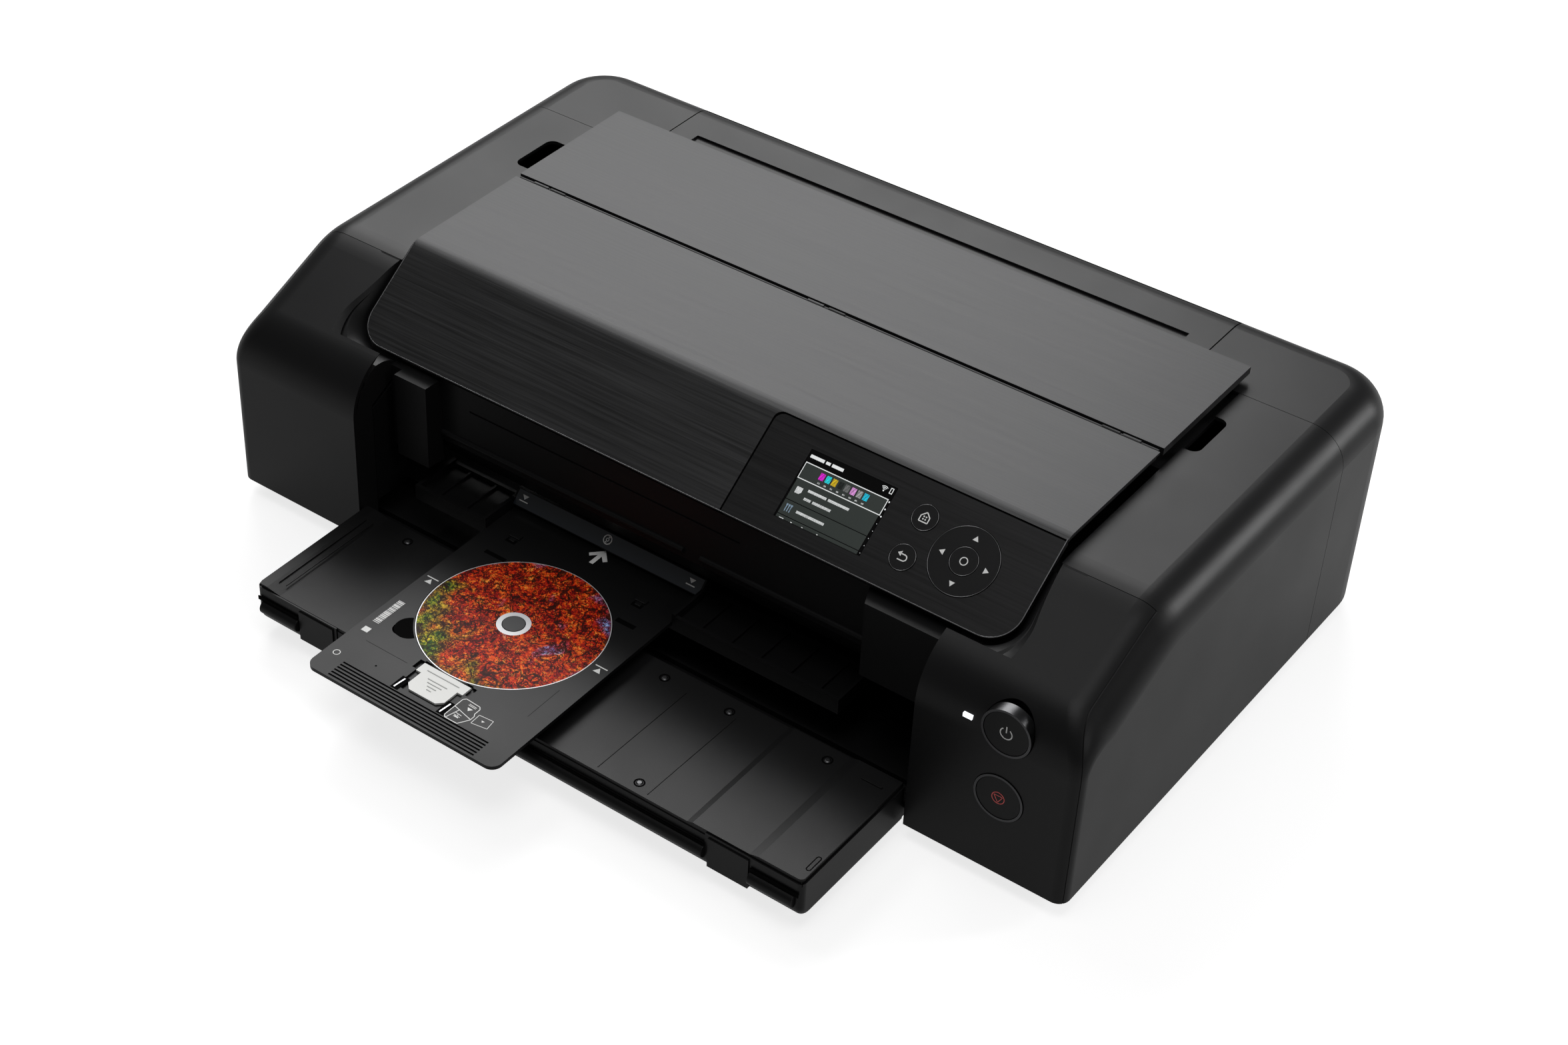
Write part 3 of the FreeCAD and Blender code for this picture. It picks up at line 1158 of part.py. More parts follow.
roller_half = sheet_width / 2 + 6
journal = chassis_half + steel + 1
keep(fuse("feed_roller", [rod("feed_barrel", "x", (-roller_half, feed_y, feed_z), roller_half * 2, feed_radius),
                          rod("feed_journal", "x", (-journal, feed_y, feed_z), journal * 2, journal_radius)]),
     "feed_roller")
exit_items = [rod("exit_core", "x", (-journal, exit_y, exit_z), journal * 2, exit_core_radius)]
for i in range(4):
    x = -sheet_width / 2 + i * (sheet_width - 16) / 3
    exit_items.append(rod(f"exit_sleeve_{i}", "x", (x, exit_y, exit_z), 16, exit_radius))
keep(fuse("exit_roller", exit_items), "exit_roller")
pinch_items = [rod("pinch_core", "x", (-roller_half, feed_y, pinch_z), roller_half * 2, pinch_core_radius)]
for i in range(4):
    x = -sheet_width / 2 + 6 + i * (sheet_width - 40) / 3
    pinch_items.append(rod(f"pinch_sleeve_{i}", "x", (x, feed_y, pinch_z), 28, pinch_radius))
keep(fuse("pinch_rollers", pinch_items), "pinch_rollers")
pinch_top = pinch_z + pinch_radius + 0.5
holder = [box("pinch_beam", (-chassis_half, chassis_half), (feed_y - 7, feed_y + 7), (pinch_top, pinch_top + 1.6))]
for i, x in enumerate((-roller_half + 1, as_size(-1.5), roller_half - 4)):
    holder.append(box(f"pinch_ear_{i}", (x, x + 3), (feed_y - 3, feed_y + 3), (pinch_z - pinch_core_radius - 1, pinch_top + 1)))
pinch_bore = rod("pinch_bore", "x", (-roller_half - 9, feed_y, pinch_z), roller_half * 2 + 18,
                 pinch_core_radius + running_gap)
keep(cut("pinch_holder", fuse("pinch_holder_solid", holder), [pinch_bore]), "pinch_holder")

# ---------------------------------------------------------------- carriage and its drive
carriage_x = (carriage_park - carriage_width / 2, carriage_park + carriage_width / 2)
carriage_y = front + carriage_front
head_end = carriage_y + head_length
carriage_top = carriage_bottom + carriage_height
carriage_rear = rail_y + rail_radius + 4
tank_end = carriage_y + 4 + tank_length
carriage_solid = prism("carriage_solid", [(carriage_y, carriage_bottom), (head_end, carriage_bottom),
                                          (head_end, carriage_bottom + 14), (carriage_rear, carriage_bottom + 14),
                                          (carriage_rear, rail_z + rail_radius + 6), (tank_end + 3, carriage_top),
                                          (carriage_y, carriage_top)], carriage_x)
tank_pitch = tank_width + tank_gap
tank_x = carriage_park - tank_pitch * tank_count / 2 + tank_gap / 2
tank_low = carriage_top - 24
well = box("tank_well", (tank_x - 0.6, tank_x + tank_pitch * tank_count + 0.1), (carriage_y + 3, tank_end + 0.5),
           (tank_low, carriage_top + 9))
rail_hole = rod("rail_hole", "x", (carriage_x[0] - 1, rail_y, rail_z), carriage_width + 2, rail_radius + running_gap)
belt_y = beam_y - 10
belt_low = pulley_height - pulley_radius - 0.3 - belt_thickness
clamp = box("belt_clamp", (carriage_park - 8, carriage_park + 8), (belt_y + 0.5, belt_y + belt_width - 0.5),
            (rail_z + rail_radius + 5, belt_low - 0.3))
keep(cut("carriage", fuse("carriage_body", [carriage_solid, clamp]), [well, rail_hole]), "carriage")
tanks = []
for i in range(tank_count):
    x = tank_x + i * tank_pitch
    body = prism(f"tank_{i}", [(carriage_y + 4, tank_low), (tank_end, tank_low), (tank_end, tank_low + tank_height - 14),
                               (tank_end - 12, tank_low + tank_height), (carriage_y + 8, tank_low + tank_height),
                               (carriage_y + 4, tank_low + tank_height - 5)], (x, x + tank_width))
    tanks.append(body)
keep(group("ink_tanks", tanks), "ink_tanks")

pulley_z = pulley_height
mount_gap = as_size(0.3)
for word, x in (("idler", -pulley_x), ("motor", pulley_x)):
    wheel = rod(f"{word}_wheel", "y", (x, belt_y, pulley_z), belt_width, pulley_radius)
    axle = rod(f"{word}_axle", "y", (x, belt_y - 1, pulley_z), beam_y + steel - belt_y + 1.5, axle_radius)
    keep(fuse(f"{word}_pulley", [wheel, axle]), f"{word}_pulley")
inner_radius = pulley_radius + mount_gap
outer_radius = inner_radius + belt_thickness


def belt_form(name, radius, y, length):
    """A band's filled outline: two round ends joined by straight runs."""
    ends = [rod(f"{name}_end_{i}", "y", (x, y, pulley_z), length, radius) for i, x in enumerate((-pulley_x, pulley_x))]
    return fuse(name, ends + [box(name + "_run", (-pulley_x, pulley_x), (y, y + length),
                                  (pulley_z - radius, pulley_z + radius))])


keep(cut("carriage_belt", belt_form("belt_outer", outer_radius, belt_y + 0.5, belt_width - 1),
         [belt_form("belt_inner", inner_radius, belt_y - 1, belt_width + 2)]), "carriage_belt")
motor_y = beam_y + steel
motor_body = rod("carriage_motor_body", "y", (pulley_x, motor_y, pulley_z), motor_length, motor_radius)
motor_bore = rod("motor_bore", "y", (pulley_x, motor_y - 1, pulley_z), 3, axle_radius + running_gap)
keep(cut("carriage_motor", motor_body, [motor_bore]), "carriage_motor")
keep(box("encoder_strip", (-chassis_half, chassis_half), (beam_y - 4, beam_y - 3.6), (frame_top - 12, frame_top - 5)),
     "encoder_strip")

# ---------------------------------------------------------------- purge unit and electronics
purge_x = (carriage_x[0] + 4, carriage_x[1] - 4)
purge_top = carriage_bottom - 4
purge_items = [box("purge_body", purge_x, (carriage_y + 2, head_end + 20), (body_lift + wall, purge_top - 8)),
               box("purge_cap_left", (purge_x[0] + 8, purge_x[0] + 44), (carriage_y + 8, head_end - 4),
                   (purge_top - 9, purge_top)),
               box("purge_cap_right", (purge_x[1] - 44, purge_x[1] - 8), (carriage_y + 8, head_end - 4),
                   (purge_top - 9, purge_top))]
keep(fuse("purge_unit", purge_items), "purge_unit")
rear_room = (chassis_end + 2, back - wall - 4)
supply_y = (rear_room[0], back - wall - inlet_length)
supply_z = (body_lift + wall, pulley_height - motor_radius - supply_motor_gap)
keep(box("power_supply", (inlet_x - supply_left, half - wall - supply_side_gap), supply_y, supply_z),
     "power_supply")
inlet_x_span = (inlet_x - inlet_width / 2 + 0.5, inlet_x + inlet_width / 2 - 0.5)
inlet_z_span = (inlet_z - inlet_height / 2 + 0.5, inlet_z + inlet_height / 2 - 0.5)
inlet_solid = box("inlet_solid", inlet_x_span, (back - wall - inlet_length, back - 1), inlet_z_span)
inlet_well = box("inlet_well", (inlet_x_span[0] + 1.5, inlet_x_span[1] - 1.5), (back - 14, back + 1),
                 (inlet_z_span[0] + 1.5, inlet_z_span[1] - 1.5))
keep(cut("power_inlet", inlet_solid, [inlet_well]), "power_inlet")
board_y = back - wall - 10
keep(box("main_board", (port_x - board_left, port_x + board_right), (board_y - 1.6, board_y),
         (body_lift + wall, body_lift + board_height)), "main_board")
port_items = [box("port_frame", (port_x - port_width / 2 + 0.5, port_x + port_width / 2 - 0.5), (board_y, back - 0.8),
                  (port_z - port_height / 2 + 0.5, port_z + port_height / 2 - 0.5))]
port_holes = [box("port_square", (port_x - 16, port_x - 4), (back - 9, back + 1), (port_z - 5.5, port_z + 5.5)),
              box("port_wide", (port_x + 2, port_x + 17), (back - 9, back + 1), (port_z - 6.5, port_z + 6.5))]
keep(cut("port_block", fuse("port_solid", port_items + [box("port_back", (port_x - 20, port_x + 20), (board_y, board_y + 2),
                                                            (port_z - 9, port_z + 9))]), port_holes), "port_block")

# ---------------------------------------------------------------- paper edge guides
run_y = (hopper_head[0] - hopper_foot[0])
run_z = (hopper_head[1] - hopper_foot[1])
run = math.hypot(run_y.value, run_z.value)
lean_y, lean_z = run_y * (1 / run), run_z * (1 / run)


def on_hopper(share, height):
    """A point over the hopper's face, given as a share of its slope and a height off it."""
    return (hopper_foot[0] + run_y * share - lean_z * height, hopper_foot[1] + run_z * share + lean_y * height)


for word, x in (("left", (-edge_guide_x - 3, -edge_guide_x)), ("right", (edge_guide_x, edge_guide_x + 3))):
    fin = prism(f"{word}_guide_fin", [on_hopper(0.28, 0.3), on_hopper(0.82, 0.3), on_hopper(0.82, edge_guide_height),
                                      on_hopper(0.36, edge_guide_height)], x)
    foot_x_span = (x[0] - 12, x[1] - 1) if word == "left" else (x[0] + 1, x[1] + 12)
    foot_piece = prism(f"{word}_guide_foot", [on_hopper(0.4, 0.3), on_hopper(0.7, 0.3), on_hopper(0.7, 2.3),
                                              on_hopper(0.4, 2.3)], foot_x_span)
    keep(fuse(f"{word}_edge_guide", [fin, foot_piece]), f"{word}_edge_guide")

# ---------------------------------------------------------------- checks and files
doc.recompute()
for item in doc.Objects:
    if "Invalid" in item.State or "Error" in item.State:
        raise RuntimeError(f"{item.Name} did not rebuild: {item.State}")
for piece in parts:
    if piece.Shape.isNull() or not piece.Shape.isValid():
        raise RuntimeError(f"{piece.Label} has no valid solid")
os.makedirs("parts", exist_ok=True)
for piece in parts:
    piece.Shape.exportStep(f"parts/{piece.Label}.step")
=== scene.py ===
import math

import bmesh
import bpy
from mathutils import Matrix, Vector


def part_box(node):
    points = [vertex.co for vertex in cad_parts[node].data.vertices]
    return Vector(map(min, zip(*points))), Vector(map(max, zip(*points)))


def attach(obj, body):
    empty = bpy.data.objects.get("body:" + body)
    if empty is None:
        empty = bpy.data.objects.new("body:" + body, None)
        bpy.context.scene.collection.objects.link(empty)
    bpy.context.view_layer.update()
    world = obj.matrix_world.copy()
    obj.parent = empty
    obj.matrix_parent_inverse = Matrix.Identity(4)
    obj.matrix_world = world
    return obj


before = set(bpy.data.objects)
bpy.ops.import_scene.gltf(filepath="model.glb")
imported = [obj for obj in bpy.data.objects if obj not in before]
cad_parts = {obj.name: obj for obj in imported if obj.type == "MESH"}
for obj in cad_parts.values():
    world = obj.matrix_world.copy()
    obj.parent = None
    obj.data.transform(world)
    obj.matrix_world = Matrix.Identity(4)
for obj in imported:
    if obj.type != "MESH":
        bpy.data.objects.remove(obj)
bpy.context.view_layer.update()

# ---------------------------------------------------------------- moulded casing
# The shells, pods and inner covers are injection-moulded black polystyrene with a fine satin grain.
# They snap together along narrow seams, so every one of them has the same finish.


class Wire:
    """An output in a tree of nodes: sums written with it add the Math nodes that work them out."""

    def __init__(self, owner, socket):
        self.owner = owner
        self.socket = socket

    def math(self, operation, first, second):
        return self.owner.node("Math", {"operation": operation}, {0: first, 1: second})

    def __add__(self, other):
        return self.math("ADD", self, other)

    def __radd__(self, other):
        return self.math("ADD", other, self)

    def __sub__(self, other):
        return self.math("SUBTRACT", self, other)

    def __rsub__(self, other):
        return self.math("SUBTRACT", other, self)

    def __mul__(self, other):
        return self.math("MULTIPLY", self, other)

    def __rmul__(self, other):
        return self.math("MULTIPLY", other, self)

    def __gt__(self, other):
        return self.math("GREATER_THAN", self, other)

    def __lt__(self, other):
        return self.math("LESS_THAN", self, other)


class Nodes:
    """A tree of nodes, in which one method adds them all."""

    def __init__(self, tree):
        self.tree = tree

    def node(self, kind, settings, inputs, output=0):
        """Adds one node: its settings first, then a value or a wire for each socket named."""
        made = self.tree.nodes.new("ShaderNode" + kind)
        for word, value in settings.items():
            if word == "stops":
                ramp = made.color_ramp
                while len(ramp.elements) < len(value):
                    ramp.elements.new(1)
                for element, (place, colour) in zip(ramp.elements, value):
                    element.position = place
                    element.color = (*colour, 1)
            elif word == "interpolation":
                made.color_ramp.interpolation = value
            else:
                setattr(made, word, value)
        for key, value in inputs.items():
            if isinstance(value, Wire):
                self.join(value, made.inputs[key])
            else:
                made.inputs[key].default_value = value
        return Wire(self, made.outputs[output])

    def join(self, wire, socket):
        self.tree.links.new(wire.socket, socket)

    def clamp(self, value):
        return self.node("Clamp", {}, {0: value})


class Finish(Nodes):
    """A material of the printer, made from its plain shader values and the nodes that vary them."""

    def __init__(self, name, colour, roughness, **constants):
        self.material = bpy.data.materials.new(name)
        self.material.use_nodes = True
        super().__init__(self.material.node_tree)
        self.shader = self.tree.nodes["Principled BSDF"]
        self.shader.inputs["Base Color"].default_value = (*colour, 1)
        self.shader.inputs["Roughness"].default_value = roughness
        for word, value in constants.items():
            self.shader.inputs[word.replace("_", " ")].default_value = value

    def place(self, scale=(1, 1, 1), centre=(0, 0, 0)):
        """Object coordinates about a centre, stretched by a scale for each axis."""
        spot = self.node("TexCoord", {}, {}, "Object")
        shift = [-c * s for c, s in zip(centre, scale)]
        return self.node("Mapping", {}, {"Vector": spot, "Location": shift, "Scale": scale})

    def noise(self, where, scale, detail=2.0):
        return self.node("TexNoise", {}, {"Vector": where, "Scale": scale, "Detail": detail})

    def cells(self, where, scale):
        """A red share that jumps from one small cell of the surface to the next."""
        colour = self.node("TexVoronoi", {}, {"Vector": where, "Scale": scale}, "Color")
        return self.node("SeparateColor", {}, {0: colour})

    def axis(self, where, letter):
        """One coordinate of a place: X, Y or Z."""
        return self.node("SeparateXYZ", {}, {0: where}, letter)

    def ramp(self, share, stops, interpolation="LINEAR"):
        """A colour read off a row of stops, each a share and its colour."""
        return self.node("ValToRGB", {"interpolation": interpolation, "stops": stops}, {0: share})

    def mix(self, share, first, second):
        """A colour between two colours."""
        pair = [c if isinstance(c, Wire) else (*c, 1) for c in (first, second)]
        return self.node("Mix", {"data_type": "RGBA"}, {0: share, 6: pair[0], 7: pair[1]}, 2)

    def feed(self, word, wire):
        self.join(wire, self.shader.inputs[word])

    def relief(self, height, depth, strength=1.0):
        """Raises the surface by a height map of 0 to 1 times a depth in metres."""
        bump = self.node("Bump", {}, {"Height": height, "Distance": depth, "Strength": strength})
        self.feed("Normal", bump)

    def wear(self, low, high, scale):
        """Lets the sheen drift between two roughness values in soft patches."""
        drift = self.noise(self.place(), scale, 3.0)
        self.feed("Roughness", drift * (high - low) + low)


def coat(finish, *nodes):
    """Gives printer pieces their finish."""
    for word in nodes:
        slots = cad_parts[word].data.materials
        slots.clear()
        slots.append(finish.material)


def moulded(name, colour, roughness, grain=2600.0, depth=0.00004, gloss=0.14):
    """Satin moulded plastic with a fine spark-eroded grain."""
    finish = Finish(name, colour, roughness, Specular_IOR_Level=gloss)
    finish.relief(finish.noise(finish.place(), grain, 1.0), depth, 0.6)
    finish.wear(roughness - 0.04, roughness + 0.06, 18.0)
    return finish


casing_black = moulded("casing_black", (0.0075, 0.0075, 0.0078), 0.38)
coat(casing_black, "left_pod_cover", "right_pod_cover", "left_side_shell", "right_side_shell", "rear_shell",
     "rear_tray_cover", "top_cover_liner")
# The parts inside the body and the mouth get a darker copy of this black: painted shade for the shade inside.
inner_black_shaded = moulded("inner_black_shaded", (0.0045, 0.0045, 0.0047), 0.5, 1800.0, gloss=0.1)
coat(inner_black_shaded, "base_pan", "rear_hopper", "top_frame", "mouth_panel", "mouth_left_block",
     "mouth_right_block", "left_edge_guide", "right_edge_guide")

# ---------------------------------------------------------------- rubber feet
# Four round feet of soft black rubber grip the desk.
# They are pushed up into the underside of the base pan.
foot_rubber = moulded("foot_rubber", (0.012, 0.012, 0.012), 0.75, 900.0, 0.0001)
coat(foot_rubber, "rubber_feet")

# ---------------------------------------------------------------- chassis, shafts and rollers
# The chassis is folded zinc-plated steel sheet; the carriage shaft and hinge rods are ground steel.
# The feed roller is a grit-coated aluminium bar, and the exit and pinch rollers carry rubber sleeves.
plated = Finish("plated_steel", (0.50, 0.51, 0.52), 0.36, Metallic=1.0)
spangle = plated.cells(plated.place(), 320.0)
plated.feed("Base Color", plated.mix(spangle, (0.44, 0.45, 0.46), (0.57, 0.58, 0.59)))
plated.wear(0.3, 0.45, 120.0)
coat(plated, "chassis_frame")
ground = Finish("ground_steel", (0.62, 0.62, 0.63), 0.2, Metallic=1.0)
ground.relief(ground.noise(ground.place((6000, 20, 20)), 1.0, 2.0), 0.00001, 0.5)
ground.wear(0.16, 0.28, 300.0)
coat(ground, "carriage_shaft", "cover_hinge_pins")
# The lid's hinge rod is painted near black: painted shade for the dark gap it lies in.
rod_shade = Finish("hinge_rod_shade", (0.012, 0.012, 0.013), 0.45, Metallic=0.6)
rod_shade.wear(0.4, 0.55, 300.0)
coat(rod_shade, "lid_hinge_rod")
grit = Finish("gritted_roller", (0.34, 0.34, 0.33), 0.5, Metallic=0.6)
grit.relief(grit.noise(grit.place(), 3800.0, 1.0), 0.00008)
grit.wear(0.42, 0.6, 200.0)
coat(grit, "feed_roller")
roller_rubber = moulded("roller_rubber", (0.03, 0.03, 0.03), 0.7, 1500.0, 0.00006)
coat(roller_rubber, "exit_roller", "pinch_rollers")
coat(inner_black_shaded, "platen", "pinch_holder")

# ---------------------------------------------------------------- carriage drive
# A toothed rubber belt runs round two plastic pulleys; the motor is a plain steel can behind the beam.
# A clear film with fine black lines lies along the beam, and the carriage reads its place from it.
belt_rubber = Finish("belt_rubber", (0.016, 0.016, 0.016), 0.62)
teeth = belt_rubber.node("TexWave", {"bands_direction": "X"}, {"Vector": belt_rubber.place(), "Scale": 160.0})
belt_rubber.relief(teeth, 0.0004)
belt_rubber.wear(0.55, 0.7, 90.0)
coat(belt_rubber, "carriage_belt")
pulley_plastic = moulded("pulley_plastic", (0.55, 0.54, 0.50), 0.4, 2000.0)
coat(pulley_plastic, "motor_pulley", "idler_pulley")
motor_can = Finish("motor_can", (0.42, 0.42, 0.43), 0.3, Metallic=1.0)
motor_can.wear(0.24, 0.4, 150.0)
motor_can.relief(motor_can.noise(motor_can.place((40, 900, 40)), 1.0, 2.0), 0.00002, 0.5)
coat(motor_can, "carriage_motor")
film = Finish("encoder_film", (0.5, 0.5, 0.48), 0.2)
film_lines = film.node("TexWave", {"bands_direction": "X"}, {"Vector": film.place(), "Scale": 1500.0})
film.feed("Base Color", film.mix(film_lines > 0.5, (0.5, 0.5, 0.47), (0.05, 0.05, 0.05)))
film.feed("Roughness", film_lines * 0.2 + 0.15)
coat(film, "encoder_strip")

# ---------------------------------------------------------------- carriage and ink tanks
# The carriage is moulded black; eight tanks stand side by side in it under their own catches.
# Each tank is smoked clear plastic with a cap label in the colour of its ink.
tank_low, tank_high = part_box("ink_tanks")
TANK_GAP, CAP_HEIGHT = 0.0006, 0.016
INKS = [(0.62, 0.02, 0.30), (0.02, 0.42, 0.62), (0.85, 0.62, 0.02), (0.012, 0.012, 0.012), (0.16, 0.16, 0.17),
        (0.72, 0.28, 0.50), (0.36, 0.36, 0.37), (0.25, 0.62, 0.75)]
SMOKED = (0.03, 0.03, 0.033)
coat(inner_black_shaded, "carriage")
tank_case = Finish("tank_case", SMOKED, 0.25, Coat_Roughness=0.1)
row = (1 / (tank_high.x - tank_low.x + TANK_GAP), 1, 1)
cell = tank_case.axis(tank_case.place(row, (tank_low.x - TANK_GAP / 2, 0, 0)), "X")
ink = tank_case.ramp(cell, [(i / len(INKS), colour) for i, colour in enumerate(INKS)], "CONSTANT")
capped = tank_case.axis(tank_case.place(), "Z") > tank_high.z - CAP_HEIGHT
tank_case.feed("Base Color", tank_case.mix(capped, SMOKED, ink))
tank_case.wear(0.2, 0.35, 60.0)
coat(tank_case, "ink_tanks")

# ---------------------------------------------------------------- purge unit, supply and boards
# The purge unit and the power supply are plain black moulded boxes.
# The boards are green glass fibre with copper tracks; the ports at the back share one grey case.
coat(inner_black_shaded, "purge_unit", "power_supply", "power_inlet")
board_green = Finish("board_green", (0.02, 0.16, 0.07), 0.35, Coat_Weight=0.4, Coat_Roughness=0.2)
tracks = board_green.node("TexBrick", {}, {"Vector": board_green.place((120, 120, 120)), "Scale": 3.0,
                                           "Color1": (0.02, 0.17, 0.07, 1), "Color2": (0.015, 0.13, 0.055, 1),
                                           "Mortar": (0.10, 0.30, 0.10, 1), "Mortar Size": 0.04})
board_green.feed("Base Color", tracks)
board_green.wear(0.28, 0.42, 90.0)
coat(board_green, "main_board", "key_board")
port_case = moulded("port_case", (0.05, 0.05, 0.052), 0.38)
coat(port_case, "port_block")

# ---------------------------------------------------------------- tray guide
# The lowered guide is one black moulding that leads the disc tray into the mouth.
# A dark film strip is stuck on its sloping bridge, with white marks printed on it.
guide_black = moulded("guide_black", (0.0048, 0.0048, 0.005), 0.38, 1500.0)
coat(guide_black, "tray_guide")
strip_film = Finish("guide_strip", (0.0085, 0.012, 0.018), 0.34, Coat_Weight=0.2, Coat_Roughness=0.2)
strip_film.wear(0.25, 0.4, 60.0)
strip_film.relief(strip_film.noise(strip_film.place(), 1500.0, 1.0), 0.00002, 0.4)
coat(strip_film, "guide_label")
MM = Matrix.Scale(0.001, 4)


def prism(mesh, outline, low, high):
    """Adds a flat shape drawn up between two heights, millimetres."""
    corners = [mesh.verts.new((x, y, low)) for x, y in outline]
    base = mesh.faces.new(corners)
    grown = bmesh.ops.extrude_face_region(mesh, geom=[base])["geom"]
    moved = [v for v in grown if isinstance(v, bmesh.types.BMVert)]
    bmesh.ops.translate(mesh, verts=moved, vec=(0, 0, high - low))


def block(mesh, near, far, low, high):
    """Adds a straight-sided block between two corners and two heights, millimetres."""
    (x0, y0), (x1, y1) = near, far
    prism(mesh, [(x0, y0), (x1, y0), (x1, y1), (x0, y1)], low, high)


def band(mesh, centre, inner, outer, low, high, steps=48, sweep=math.tau, start=0.0):
    """Adds a flat ring, or a part of one, between two radii and two heights, millimetres."""
    x, y = centre
    away = Vector((math.cos(start), math.sin(start), 0))
    profile = [mesh.verts.new(Vector((x, y, z)) + away * r)
               for r, z in ((inner, low), (outer, low), (outer, high), (inner, high))]
    face = mesh.faces.new(profile)
    whole = abs(sweep) >= math.tau
    geometry = list(face.verts) + list(face.edges) + [face]
    bmesh.ops.spin(mesh, geom=geometry, cent=(x, y, 0), axis=(0, 0, 1), angle=sweep, steps=steps,
                   use_merge=whole)
    if whole:
        inside = [f for f in mesh.faces if all(len(e.link_faces) > 2 for e in f.edges)]
        bmesh.ops.delete(mesh, geom=inside, context="FACES_ONLY")


def stroke(mesh, start, end, width, low, high):
    """Adds a straight bar of a width between two points."""
    a, b = Vector(start), Vector(end)
    run = (b - a).normalized() * (width / 2)
    side = Vector((-run.y, run.x))
    prism(mesh, [a - side, b - side, b + side, a + side], low, high)


def outlined(mesh, points, width, low, high):
    """Adds straight bars of a width along a closed outline."""
    for start, end in zip(points, points[1:] + points[:1]):
        stroke(mesh, start, end, width, low, high)


def settle(name, mesh, place, finish, body, round_edges=0.0):
    """Puts a finished mesh in its place on one of the printer's bodies."""
    if round_edges:
        bmesh.ops.bevel(mesh, geom=list(mesh.edges), offset=round_edges, offset_type="OFFSET", segments=2,
                        profile=0.5, affect="EDGES", material=-1, clamp_overlap=True)
    bmesh.ops.transform(mesh, matrix=place @ MM, verts=mesh.verts)
    bmesh.ops.recalc_face_normals(mesh, faces=mesh.faces)
    data = bpy.data.meshes.new(name)
    mesh.to_mesh(data)
    mesh.free()
    data.materials.append(finish.material)
    piece = bpy.data.objects.new(name, data)
    bpy.context.scene.collection.objects.link(piece)
    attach(piece, body)


def printed(name, colour):
    """Opaque screen-print ink, a little uneven at its edge and matt."""
    finish = Finish(name, colour, 0.5)
    cloud = finish.noise(finish.place(), 900.0, 2.0)
    finish.feed("Base Color", finish.mix(cloud, tuple(c * 0.8 for c in colour), colour))
    return finish


mark_white = printed("mark_white", (0.72, 0.72, 0.71))
strip_low, strip_high = (v * 1000 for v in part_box("guide_label"))
strip_tilt = math.atan2(strip_high.z - strip_low.z, strip_high.y - strip_low.y)
strip_foot = Matrix.Translation((0, strip_low.y / 1000, strip_low.z / 1000))
strip_place = strip_foot @ Matrix.Rotation(strip_tilt, 4, "X")
STRIP_INK = (0.28, 0.34)
DISC_ICON = (-52, 6.2)
marks = bmesh.new()
for x in (-119.5, 14.3):
    prism(marks, [(x - 2.5, 8.1), (x, 5.2), (x + 2.5, 8.1)], *STRIP_INK)
    stroke(marks, (x - 3.4, 3.9), (x + 3.4, 3.9), 0.7, *STRIP_INK)
band(marks, DISC_ICON, 2.6, 3.3, *STRIP_INK, 32)
band(marks, DISC_ICON, 0.7, 1.25, *STRIP_INK, 20)
for start in (0.9, 0.9 + math.pi):
    band(marks, DISC_ICON, 1.6, 2.3, *STRIP_INK, 6, 0.7, start)
settle("guide_marks", marks, strip_place, mark_white, "casing")

# ---------------------------------------------------------------- disc tray
# The tray is stiff dark grey plastic; white printed marks show how far it goes in.
# Two small clips and four windows behind the disc locate it under the carriage.
tray_grey = moulded("tray_grey", (0.0055, 0.0055, 0.0057), 0.36, 2200.0, 0.00003)
coat(tray_grey, "disc_tray")
tray_low, tray_high = (v * 1000 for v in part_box("disc_tray"))
disc_low, disc_high = (v * 1000 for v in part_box("disc"))
disc_x, disc_y = (disc_low.x + disc_high.x) / 2, (disc_low.y + disc_high.y) / 2
tab_low, tab_high = (v * 1000 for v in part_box("adapter_tab"))
tab_x = (tab_low.x + tab_high.x) / 2
HERE = Matrix.Identity(4)
TRAY_INK = (tray_high.z - 0.02, tray_high.z + 0.06)
HOLD_REACH = 67
ARROW_TIP = -63.6
ARROW_HALF = [(0, 0), (7.4, -8.0), (5.4, -10.2), (1.5, -6.2), (1.5, -15.5)]
BARS_LEFT, BARS_RIGHT, BARS_TOP, BARS_END = -121.1, -116.2, -181.2, -213.8
HAND_SIGN = [(-31.2, -225.4), (-29.6, -223.7), (-18.9, -224.3), (-17.4, -226.0), (-17.4, -231.0),
             (-16.2, -232.6), (-16.2, -236.4), (-20.4, -243.5), (-29.6, -243.5), (-31.2, -241.8)]
CARD_SIGN = [(-14.6, -229.8), (-4.6, -228.9), (-3.4, -236.2), (-14.2, -238.0)]
marks = bmesh.new()
for x in (disc_x - HOLD_REACH, disc_x + HOLD_REACH):
    prism(marks, [(x - 2.6, disc_y - 3.5), (x + 2.6, disc_y - 3.5), (x, disc_y + 0.6)], *TRAY_INK)
    stroke(marks, (x - 4.5, disc_y + 1.9), (x + 4.5, disc_y + 1.9), 0.8, *TRAY_INK)
arrow = ARROW_HALF + [(-x, y) for x, y in reversed(ARROW_HALF[1:])]
prism(marks, [(disc_x + x, ARROW_TIP + y) for x, y in arrow], *TRAY_INK)
reach = BARS_TOP
for i in range(19):
    thick = (0.5, 1.1, 0.8)[i % 3] + 0.4 * (i in (4, 11, 12))
    stroke(marks, (BARS_LEFT, reach), (BARS_RIGHT, reach), thick, *TRAY_INK)
    reach -= thick / 2 + 0.9
stroke(marks, (BARS_LEFT, BARS_END), (BARS_RIGHT, BARS_END), 4.4, *TRAY_INK)
outlined(marks, HAND_SIGN, 0.55, *TRAY_INK)
outlined(marks, CARD_SIGN, 0.4, *TRAY_INK)
